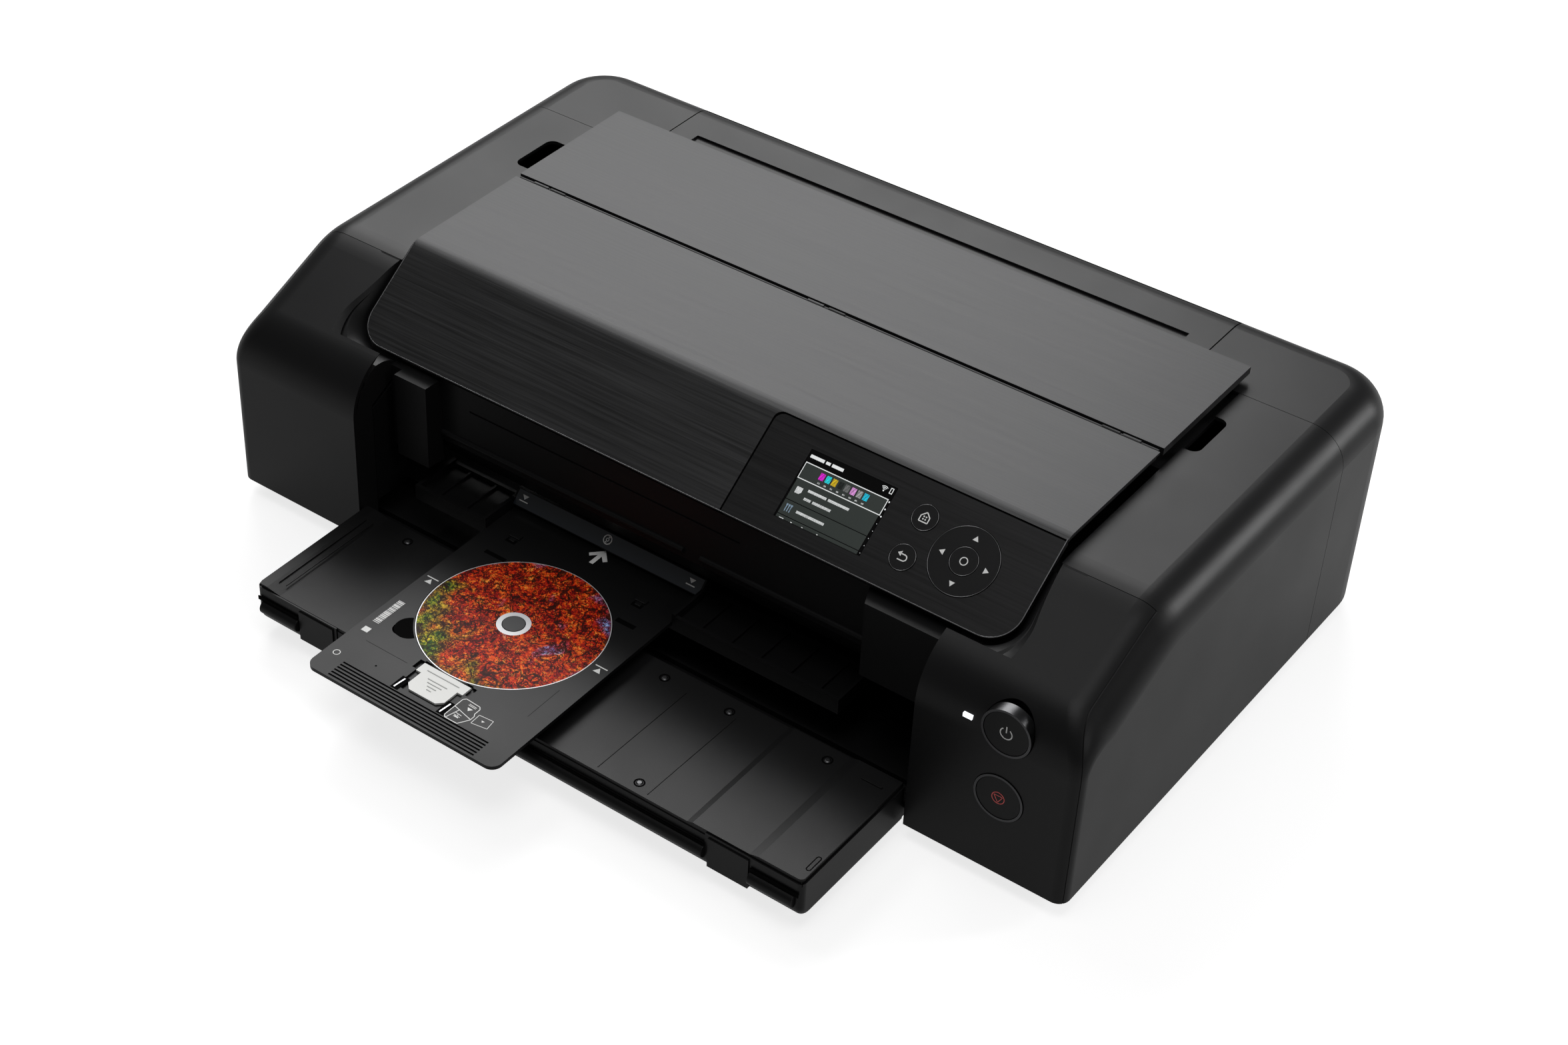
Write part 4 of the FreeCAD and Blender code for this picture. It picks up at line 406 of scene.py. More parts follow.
stroke(marks, (-31.0, -232.6), (-16.4, -236.0), 0.5, *TRAY_INK)
stroke(marks, (-26.8, -233.8), (-29.2, -243.2), 0.5, *TRAY_INK)
for x, y, side in ((-22.4, -228.8, 1), (-24.6, -239.8, -1), (-9.4, -232.4, 0.6)):
    half = 2.0 * abs(side)
    prism(marks, [(x - half, y), (x, y - 2.6 * side), (x + half, y)], *TRAY_INK)
for shift in (0, 1.7):
    stroke(marks, (-25.4, -226.9 + shift * 0.6), (-19.6, -227.3 + shift * 0.6), 0.45, *TRAY_INK)
    stroke(marks, (-27.2, -238.2 + shift), (-22.4, -238.6 + shift), 0.45, *TRAY_INK)
band(marks, (-118.2, -240.6), 1.9, 2.4, *TRAY_INK, 24)
settle("tray_marks", marks, HERE, mark_white, "disc_carrier")

# Windows, thumb grooves and fine gaps in the tray's face are flat near-black sheets of painted shade.
slot_shadow = moulded("slot_shadow", (0.0012, 0.0012, 0.0012), 0.7, gloss=0.02)
FLUSH = (tray_high.z - 0.03, tray_high.z + 0.03)
GROOVES, GROOVE_FIRST, GROOVE_PITCH, GROOVE_WIDE = 6, 1.6, 2.6, 1.3
GROOVE_LEFT, GROOVE_RIGHT, GROOVE_SIDE = -109.0, 5.0, 0.1
slots = bmesh.new()
for near, far in (((-111.6, -112.5), (-95.2, -109.2)), ((-6.0, -113.2), (8.2, -109.4)),
                  ((-109.0, -95.2), (-101.2, -91.2)), ((-8.0, -95.2), (-0.2, -91.2))):
    block(slots, near, far, *FLUSH)
stroke(slots, (-111.7, -221.6), (-78.5, -221.6), 0.22, *FLUSH)
stroke(slots, (8.2, -183.5), (8.2, -213), 0.22, *FLUSH)
band(slots, (-91.4, -235.1), 0.05, 0.7, *FLUSH, 12)
for i in range(GROOVES):
    groove = tray_low.y + GROOVE_FIRST + i * GROOVE_PITCH
    block(slots, (GROOVE_LEFT + GROOVE_SIDE, groove + GROOVE_SIDE / 2),
          (GROOVE_RIGHT - GROOVE_SIDE, groove + GROOVE_WIDE - GROOVE_SIDE / 2),
          tray_high.z - 0.62, tray_high.z - 0.5)
settle("tray_slot_shade", slots, HERE, slot_shadow, "disc_carrier")

# Painted shade fills the finger hole, which stops at the disc's edge, and a pocket on either side of the
# adapter tab.
FINGER, FINGER_RADIUS, DISC_EDGE = Vector((-98.6, -196.6)), 9.8, 61.2
hub = Vector((disc_x, disc_y))
rim = []
for step in range(64):
    turn = step * math.tau / 64
    point = FINGER + FINGER_RADIUS * Vector((math.cos(turn), math.sin(turn)))
    away = point - hub
    rim.append(point if away.length > DISC_EDGE else hub + away.normalized() * DISC_EDGE)
opening_shade = bmesh.new()
prism(opening_shade, rim, *FLUSH)
bmesh.ops.remove_doubles(opening_shade, verts=opening_shade.verts, dist=0.01)
for x in (tab_x - 20.8, tab_x + 15.0):
    block(opening_shade, (x, -243.5), (x + 5.8, -231.5), *FLUSH)
settle("tray_opening_shade", opening_shade, HERE, slot_shadow, "disc_carrier")

# Flush plugs close the notches beside the disc.
NOTCH_REACH, NOTCH_HALF, NOTCH_START, NOTCH_END, NOTCH_DEEP = 66, 2, 47, 59, 1.2
plugs = bmesh.new()
for x in (disc_x - NOTCH_REACH, disc_x + NOTCH_REACH):
    block(plugs, (x - NOTCH_HALF, disc_y + NOTCH_START), (x + NOTCH_HALF, disc_y + NOTCH_END),
          tray_high.z - NOTCH_DEEP, tray_high.z)
settle("tray_plugs", plugs, HERE, tray_grey, "disc_carrier")

# Two bright catches hold the tab.
latches = bmesh.new()
for x in (tab_x - 18.6, tab_x + 17.2):
    stroke(latches, (x, -242.5), (x + 0.9, -233.0), 1.3, tray_high.z - 0.3, tray_high.z + 0.5)
latch_metal = Finish("latch_metal", (0.30, 0.30, 0.31), 0.34, Metallic=1.0)
latch_metal.wear(0.28, 0.4, 300.0)
settle("tab_latches", latches, HERE, latch_metal, "disc_carrier", 0.2)

# Low clips grip the guide as the tray slides in.
clips = bmesh.new()
for x in (-105.1, -4.1):
    block(clips, (x - 4.1, -90.6), (x + 4.1, -86.2), tray_high.z - 0.1, tray_high.z + 1.4)
    block(clips, (x - 2.2, -93.4), (x + 2.2, -90.4), tray_high.z - 0.1, tray_high.z + 0.5)
settle("tray_clips", clips, HERE, tray_grey, "disc_carrier", 0.35)

# A grey cap covers the hub in the disc's hole.
hub_grey = moulded("hub_grey", (0.075, 0.075, 0.076), 0.5, gloss=0.2)
cap = bmesh.new()
bmesh.ops.create_cone(cap, cap_ends=True, segments=48, radius1=7.15, radius2=6.9, depth=0.6,
                      matrix=Matrix.Translation((disc_x, disc_y, disc_high.z - 0.1)))
settle("hub_cap", cap, HERE, hub_grey, "disc_carrier")

# ---------------------------------------------------------------- adapter tab
# A small white snap-in tab of moulded plastic holds the disc's edge in the tray.
# Raised lines on its face give the thumb a hold.
tab_white = moulded("tab_white", (0.74, 0.74, 0.72), 0.42, 2400.0, 0.00002)
coat(tab_white, "adapter_tab")
tab_ridges = bmesh.new()
for drop, width in ((4.2, 25), (9.5, 15), (12.2, 11), (14.8, 7), (17.4, 3.6)):
    stroke(tab_ridges, (tab_x - width / 2, tab_high.y - drop), (tab_x + width / 2, tab_high.y - drop), 0.7,
           tab_high.z - 0.1, tab_high.z + 0.25)
tab_line = moulded("tab_line", (0.42, 0.42, 0.41), 0.5)
settle("tab_lines", tab_ridges, HERE, tab_line, "disc_carrier", 0.12)

# ---------------------------------------------------------------- printable disc
# The disc is clear polycarbonate on a silver layer, printed edge to edge with a dappled leafy pattern.
# A bare silver ring surrounds the hub hole, and the clear rim catches the light.
BARE_HUB, BARE_RIM = 0.0108, 0.0594
TWIG_BROWN = (0.022, 0.006, 0.004)
disc_print = Finish("disc_print", (0.5, 0.1, 0.02), 0.5, Coat_Roughness=0.12, Specular_IOR_Level=0.05)
flat = disc_print.place((1, 1, 0), (disc_x / 1000, disc_y / 1000, 0))
radius = disc_print.node("VectorMath", {"operation": "LENGTH"}, {0: flat}, "Value")
east = disc_print.axis(flat, "X")
north = disc_print.axis(flat, "Y")
swirl = disc_print.node("TexNoise", {}, {"Vector": flat, "Scale": 60.0, "Detail": 4.0}, "Color")
bent = disc_print.node("VectorMath", {"operation": "MULTIPLY_ADD"}, {0: swirl, 1: (0.010, 0.010, 0), 2: flat})
leaves = disc_print.cells(bent, 760.0)
tufts = disc_print.noise(flat, 210.0, 3.0)
sprays = disc_print.noise(flat, 75.0, 2.0)
dapple = disc_print.clamp(leaves * 0.62 + tufts * 1.3 + sprays * 1.2 - 1.08)
warm = disc_print.ramp(dapple, [(0.0, (0.04, 0.003, 0.003)), (0.25, (0.30, 0.006, 0.006)),
                                (0.5, (0.62, 0.030, 0.006)), (0.75, (0.86, 0.12, 0.010)),
                                (1.0, (0.92, 0.34, 0.05))])
leafy = disc_print.ramp(dapple, [(0.0, (0.004, 0.03, 0.012)), (0.4, (0.04, 0.11, 0.015)),
                                 (0.7, (0.34, 0.36, 0.02)), (1.0, (0.68, 0.52, 0.04))])
cool = disc_print.ramp(dapple, [(0.0, (0.07, 0.012, 0.03)), (0.35, (0.24, 0.05, 0.10)),
                                (0.7, (0.16, 0.22, 0.55)), (1.0, (0.42, 0.56, 0.85))])
patch = disc_print.noise(flat, 45.0, 3.0)
low_left = disc_print.clamp((0.0 - east - north * 1.3) * 22.0 + patch * 5.0 - 3.4)
top_right = disc_print.clamp((east + north) * 12.0 + patch * 9.0 - 5.6)
picture = disc_print.mix(top_right, warm, cool)
picture = disc_print.mix(low_left, picture, leafy)
for fineness, breadth, wander in ((24.0, 0.011, 3.0), (52.0, 0.013, 4.0),
                                  (110.0, 0.018, 4.0), (240.0, 0.028, 2.0)):
    field = disc_print.node("TexNoise", {}, {"Vector": flat, "Scale": fineness, "Detail": wander,
                                             "Roughness": 0.62})
    ridge = disc_print.node("Math", {"operation": "ABSOLUTE"}, {0: field - 0.5})
    twig = disc_print.clamp((breadth - ridge) * (2.4 / breadth))
    picture = disc_print.mix(twig * 0.88, picture, TWIG_BROWN)
bare = disc_print.node("Math", {"operation": "MAXIMUM"}, {0: radius < BARE_HUB, 1: radius > BARE_RIM})
disc_print.feed("Base Color", disc_print.mix(bare, picture, (0.50, 0.50, 0.51)))
disc_print.feed("Metallic", bare * 0.5)
disc_print.feed("Roughness", patch * 0.1 + 0.4)
disc_print.feed("Coat Weight", bare * 0.25 + 0.02)
coat(disc_print, "disc")

# ---------------------------------------------------------------- output tray
# The tray is two black mouldings, a cover and a ribbed plate, with a flat extension in between.
# Short screws hold the two together, and a round roll stiffens the front edge.
tray_black = moulded("out_tray_black", (0.0062, 0.0062, 0.0064), 0.36, 1700.0, 0.00005)
coat(tray_black, "output_tray_cover", "output_tray_plate", "output_tray_extension")
plate_low, plate_high = (v * 1000 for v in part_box("output_tray_plate"))
plate_floor = plate_high.z - 2.8
folds = bmesh.new()
for x in (60.5, 97):
    stroke(folds, (x, plate_low.y + 3), (x + 1.5, plate_high.y - 14), 0.5,
           plate_floor - 0.05, plate_floor + 0.3)
stroke(folds, (175.5, -165), (176.5, -132), 0.5, plate_floor + 1.1, plate_floor + 1.45)
stroke(folds, (187, -127.4), (201, -127.4), 1.6, plate_high.z - 0.1, plate_high.z + 0.8)
for x in (-198, -192):
    stroke(folds, (x, plate_low.y + 8), (x, plate_high.y - 12), 0.6, plate_high.z - 1.1, plate_high.z - 0.5)
settle("tray_fold_lines", folds, HERE, tray_black, "front_tray", 0.12)

# Round rolls run along the front edge, on both sides of the extension and under it.
TRAY_FRONT = -218.0
ROLL_RADIUS, ROLL_HEIGHT, ROLL_SET_BACK = 4.8, 22.6, 1.6
SIDE_GAP_TOP, MIDDLE_GAP_TOP = 30.4, 29.0
lying = Matrix.Rotation(math.pi / 2, 4, "Y")
rolls = bmesh.new()
for x0, x1 in ((-204, -173.5), (-141.5, 141.5), (173.5, 204)):
    middle = Matrix.Translation(((x0 + x1) / 2, TRAY_FRONT + ROLL_SET_BACK, ROLL_HEIGHT))
    bmesh.ops.create_cone(rolls, cap_ends=True, segments=32, radius1=ROLL_RADIUS, radius2=ROLL_RADIUS,
                          depth=x1 - x0, matrix=middle @ lying)
settle("tray_rolls", rolls, HERE, tray_black, "front_tray", 0.5)

# Painted shade in the gaps along the front edge, in a finger slot and round the rims of the screws' seats.
gap_shade = bmesh.new()
for x0, x1, top in ((-207, -173.5, SIDE_GAP_TOP), (-141.5, 141.5, MIDDLE_GAP_TOP),
                    (173.5, 207, SIDE_GAP_TOP)):
    block(gap_shade, (x0, TRAY_FRONT - 0.25), (x1, TRAY_FRONT + 0.5), 27.6, top)
SLOT_X, SLOT_START, SLOT_END, SLOT_HALF = 205.0, -206, -196, 1.35
slot_face = (plate_high.z - 0.05, plate_high.z + 0.04)
band(gap_shade, (SLOT_X, SLOT_START), 1.0, 1.7, *slot_face, 16, math.pi, math.pi)
band(gap_shade, (SLOT_X, SLOT_END), 1.0, 1.7, *slot_face, 16, math.pi, 0)
for x in (SLOT_X - SLOT_HALF, SLOT_X + SLOT_HALF):
    stroke(gap_shade, (x, SLOT_START), (x, SLOT_END), 0.7, *slot_face)
screw_steel = Finish("screw_steel", (0.07, 0.07, 0.072), 0.3, Metallic=1.0)
screw_steel.wear(0.3, 0.45, 400.0)
screws = bmesh.new()
for x, y, lift in ((43.5, -127, 0), (92, -127, 0), (162, -126, 1.2), (87.5, -208, 0), (-164, -126, 0)):
    seat = plate_floor + lift
    band(gap_shade, (x, y), 2.5, 3.5, seat - 0.05, seat + 0.12, 28)
    bmesh.ops.create_cone(screws, cap_ends=True, segments=24, radius1=2.3, radius2=1.4, depth=0.6,
                          matrix=Matrix.Translation((x, y, seat + 0.2)))
settle("tray_gap_shade", gap_shade, HERE, slot_shadow, "front_tray")
settle("tray_screws", screws, HERE, screw_steel, "front_tray", 0.15)

# ---------------------------------------------------------------- top cover and rear deck plate
# A thin skin with a brushed dark grey finish covers the bent lid and the strip behind its hinge.
# A narrow strip of brighter metal round the lower edge of the lid's slope is a painted highlight of that
# edge.


def brushed(name, dark, light, roughness):
    """Dark metallised sheet with long brush lines along the printer's width."""
    finish = Finish(name, light, roughness, Metallic=0.5, Specular_IOR_Level=0.34)
    coarse = finish.noise(finish.place((9, 620, 620)), 1.0, 3.0)
    fine = finish.noise(finish.place((26, 1900, 1900)), 1.0, 2.0)
    streak = coarse * 0.6 + fine * 0.4
    finish.feed("Base Color", finish.mix(finish.clamp(streak * 2.6 - 0.8), dark, light))
    finish.feed("Roughness", streak * 0.3 + (roughness - 0.15))
    finish.relief(streak, 0.00003, 0.5)
    return finish


cover_grey = brushed("cover_grey", (0.009, 0.009, 0.0092), (0.031, 0.031, 0.032), 0.44)
coat(cover_grey, "top_cover_plate", "rear_deck_plate")
# Painted highlight: the lid's lower edge gets a strip of brighter metal.
lid_edge_highlight = Finish("cover_edge_highlight", (0.13, 0.13, 0.133), 0.32, Metallic=1.0)
lid_edge_highlight.wear(0.28, 0.4, 200.0)
BEND = Vector((0, -20.5, 179.5))
SLOPE_RUN, SLOPE_FALL = 59.0, 42.9
slope_place = Matrix.Translation(BEND / 1000) @ Matrix.Rotation(math.atan2(SLOPE_FALL, SLOPE_RUN), 4, "X")
LID_HALF, LID_DROP, LID_CORNER, HIGHLIGHT_INSET = 244.0, 72.95, 20.0, 0.45
highlight_side, highlight_low, highlight_round = (reach - HIGHLIGHT_INSET for reach in (LID_HALF, LID_DROP, LID_CORNER))
highlight_strip = bmesh.new()
for side in (-1, 1):
    edge = [(side * highlight_side, -1.0)]
    for step in range(13):
        turn = math.pi / 2 * step / 12
        edge.append((side * (highlight_side - highlight_round * (1 - math.cos(turn))),
                     highlight_round * (1 - math.sin(turn)) - highlight_low))
    edge.append((0, -highlight_low))
    for start, end in zip(edge, edge[1:]):
        stroke(highlight_strip, start, end, 0.6, -0.3, 0.1)
settle("lid_edge_highlight_strip", highlight_strip, slope_place, lid_edge_highlight, "lid", 0.12)

# ---------------------------------------------------------------- operation panel and its display
# The panel is the same brushed sheet in near black, bent with the lid and framed by a narrow gap.
# The display lies flush in it: a dark glass with rows, small ink squares and plain icons lit behind it.
panel_black = brushed("panel_black", (0.006, 0.006, 0.0063), (0.012, 0.012, 0.0124), 0.38)
coat(panel_black, "operation_panel")
glass = Finish("display_glass", (0.002, 0.002, 0.002), 0.08, Coat_Weight=0.1, Coat_Roughness=0.03,
               Specular_IOR_Level=0.2)
glass.wear(0.06, 0.12, 40.0)
coat(glass, "display")
SCREEN_X, SCREEN_DROP, SCREEN_WIDE, SCREEN_HIGH = 77.4, 15.4, 61.0, 45.7
ROW_FACE, LINE_FACE = (-0.42, -0.36), (-0.40, -0.36)
SCREEN_INKS = [(0.95, 0.01, 0.85), (0.02, 0.85, 0.95), (0.85, 0.58, 0.01), (0.004, 0.004, 0.004),
               (0.19, 0.19, 0.19), (0.90, 0.38, 0.88), (0.42, 0.42, 0.42), (0.01, 0.68, 0.95)]
FIRST_TANK, TANK_STEP = 0.2437, 0.0722


def lit(name, colour, strength=0.6):
    """Picture element of the lit display, behind its glass."""
    finish = Finish(name, colour, 0.3, Emission_Strength=strength)
    glow = finish.noise(finish.place(), 2500.0, 0.0)
    finish.feed("Emission Color", finish.mix(glow, tuple(c * 0.85 for c in colour), colour))
    dull, plain = tuple(c * 0.3 for c in colour), tuple(c * 0.4 for c in colour)
    finish.feed("Base Color", finish.mix(glow, dull, plain))
    return finish


def screen_spot(across, down):
    """A point of the display's picture, given in shares of its width and height."""
    return SCREEN_X + across * SCREEN_WIDE, -(SCREEN_DROP + down * SCREEN_HIGH)


def on_screen(mesh, left, top, right, bottom, face):
    """Adds a rectangle of the display's picture, given in shares of its width and height."""
    x0, y0 = screen_spot(left, top)
    x1, y1 = screen_spot(right, bottom)
    block(mesh, (x0, y1), (x1, y0), *face)


# Grey rows fill the picture, with white bars, dots and signs on them.
rows = bmesh.new()
for top, bottom in ((0.192, 0.408), (0.423, 0.722), (0.733, 0.936), (0.947, 0.992)):
    on_screen(rows, 0.022, top, 0.958, bottom, ROW_FACE)
settle("screen_rows", rows, slope_place, lit("screen_grey", (0.026, 0.033, 0.029), 0.55), "lid")

white_lines = bmesh.new()
for left, top, right, bottom in ((0.016, 0.180, 0.967, 0.192), (0.016, 0.408, 0.967, 0.420),
                                 (0.016, 0.180, 0.024, 0.420), (0.959, 0.180, 0.967, 0.420)):
    on_screen(white_lines, left, top, right, bottom, LINE_FACE)
for left, right, middle, tall in ((0.025, 0.185, 0.088, 0.044), (0.205, 0.255, 0.088, 0.040),
                                  (0.275, 0.405, 0.088, 0.044), (0.19, 0.40, 0.520, 0.036),
                                  (0.42, 0.66, 0.520, 0.036), (0.19, 0.27, 0.637, 0.036),
                                  (0.29, 0.50, 0.637, 0.036), (0.19, 0.51, 0.832, 0.036),
                                  (0.06, 0.11, 0.984, 0.012), (0.19, 0.21, 0.986, 0.010),
                                  (0.32, 0.335, 0.986, 0.010), (0.495, 0.51, 0.986, 0.010)):
    on_screen(white_lines, left, middle - tall / 2, right, middle + tall / 2, LINE_FACE)
for i in range(len(SCREEN_INKS)):
    middle = FIRST_TANK + i * TANK_STEP
    on_screen(white_lines, middle - 0.013, 0.366, middle + 0.013, 0.386, LINE_FACE)
    band(white_lines, screen_spot(0.984, 0.21 + i * 0.107), 0.02, 0.5 if i < 3 else 0.22, *LINE_FACE, 12)
page_x, page_y = screen_spot(0.066, 0.612)
PAGE = [(0, 0), (2.9, 0), (4.2, 1.3), (4.2, 4.2), (0, 4.2)]
prism(white_lines, [(page_x + x, page_y + y) for x, y in PAGE], *LINE_FACE)
wifi = screen_spot(0.871, 0.104)
band(white_lines, wifi, 0.02, 0.5, *LINE_FACE, 12)
for reach in (1.35, 2.25, 3.15):
    band(white_lines, wifi, reach - 0.42, reach, *LINE_FACE, 10, math.radians(84), math.radians(48))
for left, top, right, bottom in ((0.932, 0.028, 0.966, 0.038), (0.932, 0.100, 0.966, 0.110),
                                 (0.932, 0.028, 0.939, 0.110), (0.959, 0.028, 0.966, 0.110)):
    on_screen(white_lines, left, top, right, bottom, LINE_FACE)
screen_white = lit("screen_white", (0.8, 0.82, 0.82), 0.75)
settle("screen_lines", white_lines, slope_place, screen_white, "lid")

# One square for each ink tank.
for i, colour in enumerate(SCREEN_INKS):
    square = bmesh.new()
    middle = FIRST_TANK + i * TANK_STEP
    on_screen(square, middle - 0.027, 0.232, middle + 0.027, 0.330, LINE_FACE)
    word = f"screen_ink_{i + 1}"
    settle(word, square, slope_place, lit(word, colour, 1.0), "lid")

# A blue sign of three tools.
tools = bmesh.new()
for shift in (0.066, 0.092, 0.118):
    on_screen(tools, shift, 0.785, shift + 0.010, 0.885, LINE_FACE)
    on_screen(tools, shift - 0.005, 0.778, shift + 0.015, 0.805, LINE_FACE)
settle("screen_tools", tools, slope_place, lit("screen_blue", (0.30, 0.42, 0.55), 0.7), "lid")

# ---------------------------------------------------------------- keys of the operation panel
# Round satin caps stand a little proud in their holes.
# A thin bright metal ring on each edge is a painted highlight of its bevel, and white signs are printed on
# them.
key_black = moulded("key_black", (0.006, 0.006, 0.0063), 0.4, 2600.0, 0.00002)
coat(key_black, "home_key", "back_key", "arrow_ring", "select_key", "power_button", "stop_button")
# Painted highlight: a brighter metal ring round the edge of each key.
rim_highlight = Finish("key_edge_highlight", (0.15, 0.15, 0.153), 0.28, Metallic=1.0)
rim_highlight.wear(0.25, 0.36, 500.0)
KEY_TOP = 0.3
HOME, BACK, RING = (162, -24.5), (162, -51), (196, -38)
for word, body, centre, outer in (("home", "home_button", HOME, 8.2), ("back", "back_button", BACK, 8.2),
                                  ("ring", "arrow_pad", RING, 21.5), ("select", "select_button", RING, 8.8)):
    rim = bmesh.new()
    band(rim, centre, outer - 0.36, outer - 0.02, KEY_TOP - 0.25, KEY_TOP + 0.12, 64)
    settle(f"{word}_key_rim_highlight", rim, slope_place, rim_highlight, body, 0.14)

sign_white = printed("sign_white", (0.78, 0.78, 0.77))
KEY_INK = (KEY_TOP - 0.03, KEY_TOP + 0.05)
x, y = HOME
WALLS = [(-2.9, 0.6), (0, 3.3), (2.9, 0.6), (2.9, -2.9), (-2.9, -2.9)]
house = bmesh.new()
outlined(house, [(x + across, y + up) for across, up in WALLS], 0.7, *KEY_INK)
for across, up in ((-0.8, 0.45), (0.8, 0.45), (-0.8, -1.15), (0.8, -1.15)):
    band(house, (x + across, y + up), 0.02, 0.52, *KEY_INK, 12)
settle("home_sign", house, slope_place, sign_white, "home_button")

x, y = BACK
hook = bmesh.new()
band(hook, (x + 0.9, y - 0.1), 1.55, 2.25, *KEY_INK, 20, math.pi, -math.pi / 2)
stroke(hook, (x - 2.0, y + 1.8), (x + 1.0, y + 1.8), 0.7, *KEY_INK)
stroke(hook, (x - 2.6, y - 2.0), (x + 1.0, y - 2.0), 0.7, *KEY_INK)
prism(hook, [(x - 3.9, y + 1.8), (x - 1.5, y + 0.1), (x - 1.5, y + 3.5)], *KEY_INK)
settle("back_sign", hook, slope_place, sign_white, "back_button")

ARROW_OUT, ARROW_IN, ARROW_WIDE = 16.6, 13.4, 1.9
arrows = bmesh.new()
for quarter in range(4):
    turn = quarter * math.pi / 2
    ahead = Vector((math.cos(turn), math.sin(turn)))
    side = Vector((-ahead.y, ahead.x)) * ARROW_WIDE
    tip, foot = Vector(RING) + ahead * ARROW_OUT, Vector(RING) + ahead * ARROW_IN
    prism(arrows, [foot - side, tip, foot + side], *KEY_INK)
settle("ring_signs", arrows, slope_place, sign_white, "arrow_pad")

dot = bmesh.new()
band(dot, RING, 2.0, 2.6, *KEY_INK, 32)
settle("select_sign", dot, slope_place, sign_white, "select_button")

# ---------------------------------------------------------------- front buttons and lamp
# Two round buttons sit in polished rings in the right pod, each with a printed sign.
# A small lamp beside the power button shows that the printer is on.
ring_metal = Finish("button_ring_metal", (0.055, 0.055, 0.057), 0.3, Metallic=1.0)
ring_metal.wear(0.26, 0.36, 300.0)
coat(ring_metal, "button_rings")
lamp_glow = Finish("lamp_glow", (0.9, 0.93, 1.0), 0.3, Emission_Strength=1.25)
core = lamp_glow.noise(lamp_glow.place(), 300.0, 1.0)
lamp_glow.feed("Emission Color", lamp_glow.mix(core, (0.85, 0.92, 1.0), (1.0, 1.0, 1.0)))
coat(lamp_glow, "status_lamp")
BUTTON_X, FACE_Y, POWER_Z, STOP_Z = 271.0, -119.3, 117.3, 68.8
BUTTON_INK = (-0.02, 0.06)
upright = Matrix.Rotation(math.pi / 2, 4, "X")


def button_place(height):
    """The face of a front button: x across, y up, z out towards the front."""
    return Matrix.Translation((BUTTON_X / 1000, FACE_Y / 1000, height / 1000)) @ upright


power = bmesh.new()
band(power, (0, 0), 3.4, 4.1, *BUTTON_INK, 36, math.radians(290), math.radians(125))
stroke(power, (0, 0.6), (0, 5.0), 0.75, *BUTTON_INK)
settle("power_sign", power, button_place(POWER_Z), sign_white, "power_press")

sign_red = printed("sign_red", (0.86, 0.13, 0.12))
STOP_REACH = 3.3
stop = bmesh.new()
band(stop, (0, 0), 3.75, 4.25, *BUTTON_INK, 36)
turns = [math.radians(degrees) for degrees in (30, 150, 270)]
triangle = [(STOP_REACH * math.cos(turn), STOP_REACH * math.sin(turn)) for turn in turns]
outlined(stop, triangle, 0.42, *BUTTON_INK)
settle("stop_sign", stop, button_place(STOP_Z), sign_red, "stop_press")

# ---------------------------------------------------------------- studio
# The printer stands on a plain pale floor under soft light from above and behind.
# The floor and the sky look white to the camera, and shed less light than that on the printer.
FLOOR_GLOW, SKY_LEVEL = 0.78, 0.12
floor_paint = Finish("studio_floor", (0.34, 0.34, 0.34), 0.9, Specular_IOR_Level=0.0)
camera_ray = floor_paint.node("LightPath", {}, {}, "Is Camera Ray")
glossy_ray = floor_paint.node("LightPath", {}, {}, "Is Glossy Ray")
clear_ray = floor_paint.node("LightPath", {}, {}, "Is Transmission Ray")
seen = floor_paint.clamp(camera_ray + glossy_ray * 0.45 + clear_ray)
glow = floor_paint.node("Emission", {}, {"Color": (1, 1, 1, 1), "Strength": seen * FLOOR_GLOW})
painted = Wire(floor_paint, floor_paint.shader.outputs[0])
lit_paint = floor_paint.node("AddShader", {}, {0: painted, 1: glow})
floor_paint.join(lit_paint, floor_paint.tree.nodes["Material Output"].inputs["Surface"])
ground_mesh = bmesh.new()
bmesh.ops.create_grid(ground_mesh, x_segments=1, y_segments=1, size=30.0)
floor_data = bpy.data.meshes.new("studio_floor")
ground_mesh.to_mesh(floor_data)
ground_mesh.free()
floor_data.materials.append(floor_paint.material)
floor = bpy.data.objects.new("studio_floor", floor_data)
bpy.context.scene.collection.objects.link(floor)

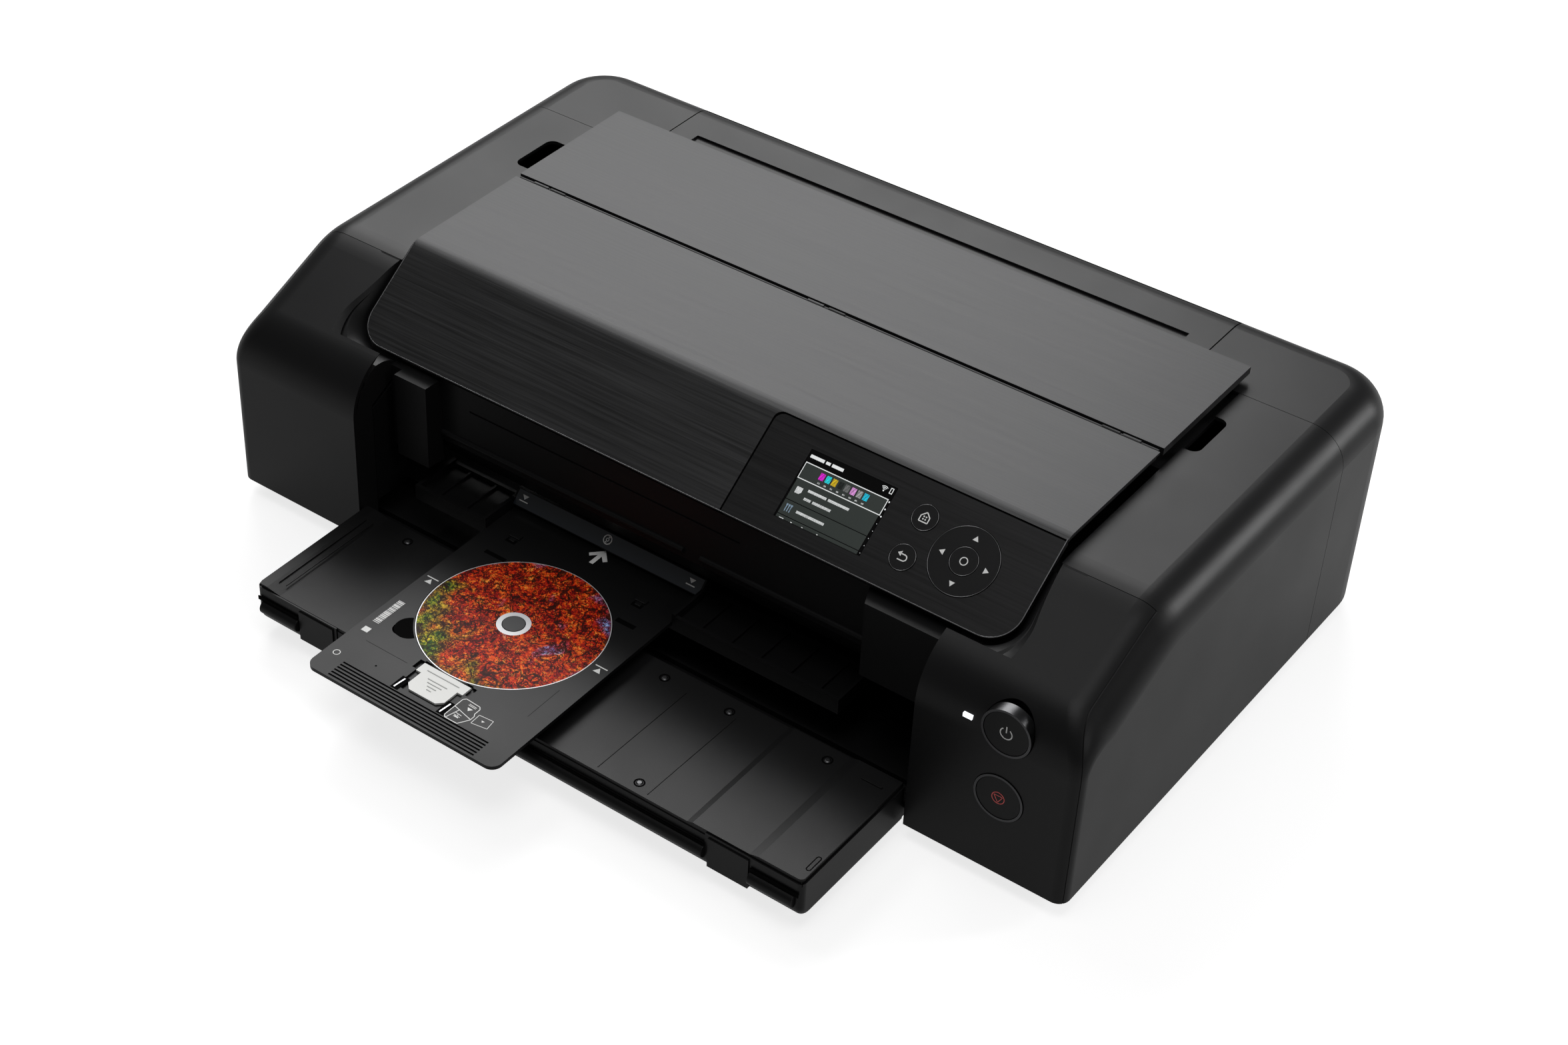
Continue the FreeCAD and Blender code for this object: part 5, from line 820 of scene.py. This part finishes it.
world = bpy.data.worlds.new("studio")
world.use_nodes = True
bpy.context.scene.world = world
air = Nodes(world.node_tree)
camera_ray = air.node("LightPath", {}, {}, "Is Camera Ray")
clear_ray = air.node("LightPath", {}, {}, "Is Transmission Ray")
direct = air.node("Math", {"operation": "MAXIMUM"}, {0: camera_ray, 1: clear_ray})
level = air.node("MapRange", {}, {"Value": direct, "To Min": SKY_LEVEL, "To Max": 1.0})
sky = air.tree.nodes["Background"]
sky.inputs["Color"].default_value = (1, 1, 1, 1)
air.join(level, sky.inputs["Strength"])


def soft_box(name, place, target, size, power):
    """A large soft lamp that faces a point."""
    lamp = bpy.data.lights.new(name, "AREA")
    lamp.shape = "RECTANGLE"
    lamp.size, lamp.size_y = size
    lamp.energy = power
    item = bpy.data.objects.new(name, lamp)
    item.location = place
    item.rotation_euler = (Vector(target) - Vector(place)).to_track_quat("-Z", "Y").to_euler()
    bpy.context.scene.collection.objects.link(item)


MIDDLE = (0, 0.05, 0.1)
soft_box("back_left", (-1.25, 1.65, 1.8), MIDDLE, (1.9, 1.3), 62)
soft_box("back_right", (2.2, 2.4, 1.1), MIDDLE, (0.5, 1.2), 48)
soft_box("right_strip", (2.5, -0.4, 1.3), MIDDLE, (0.3, 1.2), 7)
soft_box("high_left", (-1.25, 0.35, 2.25), MIDDLE, (0.8, 0.6), 9)
soft_box("overhead", (0.3, -0.6, 2.6), MIDDLE, (1.6, 1.2), 22)

PICTURE_WIDE, PICTURE_HIGH, FOCAL = 2352, 1568, 4134.28
AXIS_ACROSS, AXIS_DOWN = 957.82, 803.30
AZIMUTH, TILT, ROLL = (math.radians(angle) for angle in (37.50415, 51.33019, 0.76666))
camera_data = bpy.data.cameras.new("camera")
camera_data.sensor_width = 36.0
camera_data.lens = camera_data.sensor_width * FOCAL / PICTURE_WIDE
camera_data.shift_x = (PICTURE_WIDE / 2 - AXIS_ACROSS) / PICTURE_WIDE
camera_data.shift_y = (AXIS_DOWN - PICTURE_HIGH / 2) / PICTURE_WIDE
camera_data.clip_start, camera_data.clip_end = 0.05, 60
camera = bpy.data.objects.new("camera", camera_data)
turned = Matrix.Rotation(AZIMUTH, 4, "Z") @ Matrix.Rotation(TILT, 4, "X") @ Matrix.Rotation(ROLL, 4, "Z")
camera.matrix_world = Matrix.Translation((0.78543, -1.12145, 1.13955)) @ turned
bpy.context.scene.collection.objects.link(camera)
bpy.context.scene.camera = camera
bpy.context.scene.view_settings.view_transform = "Standard"
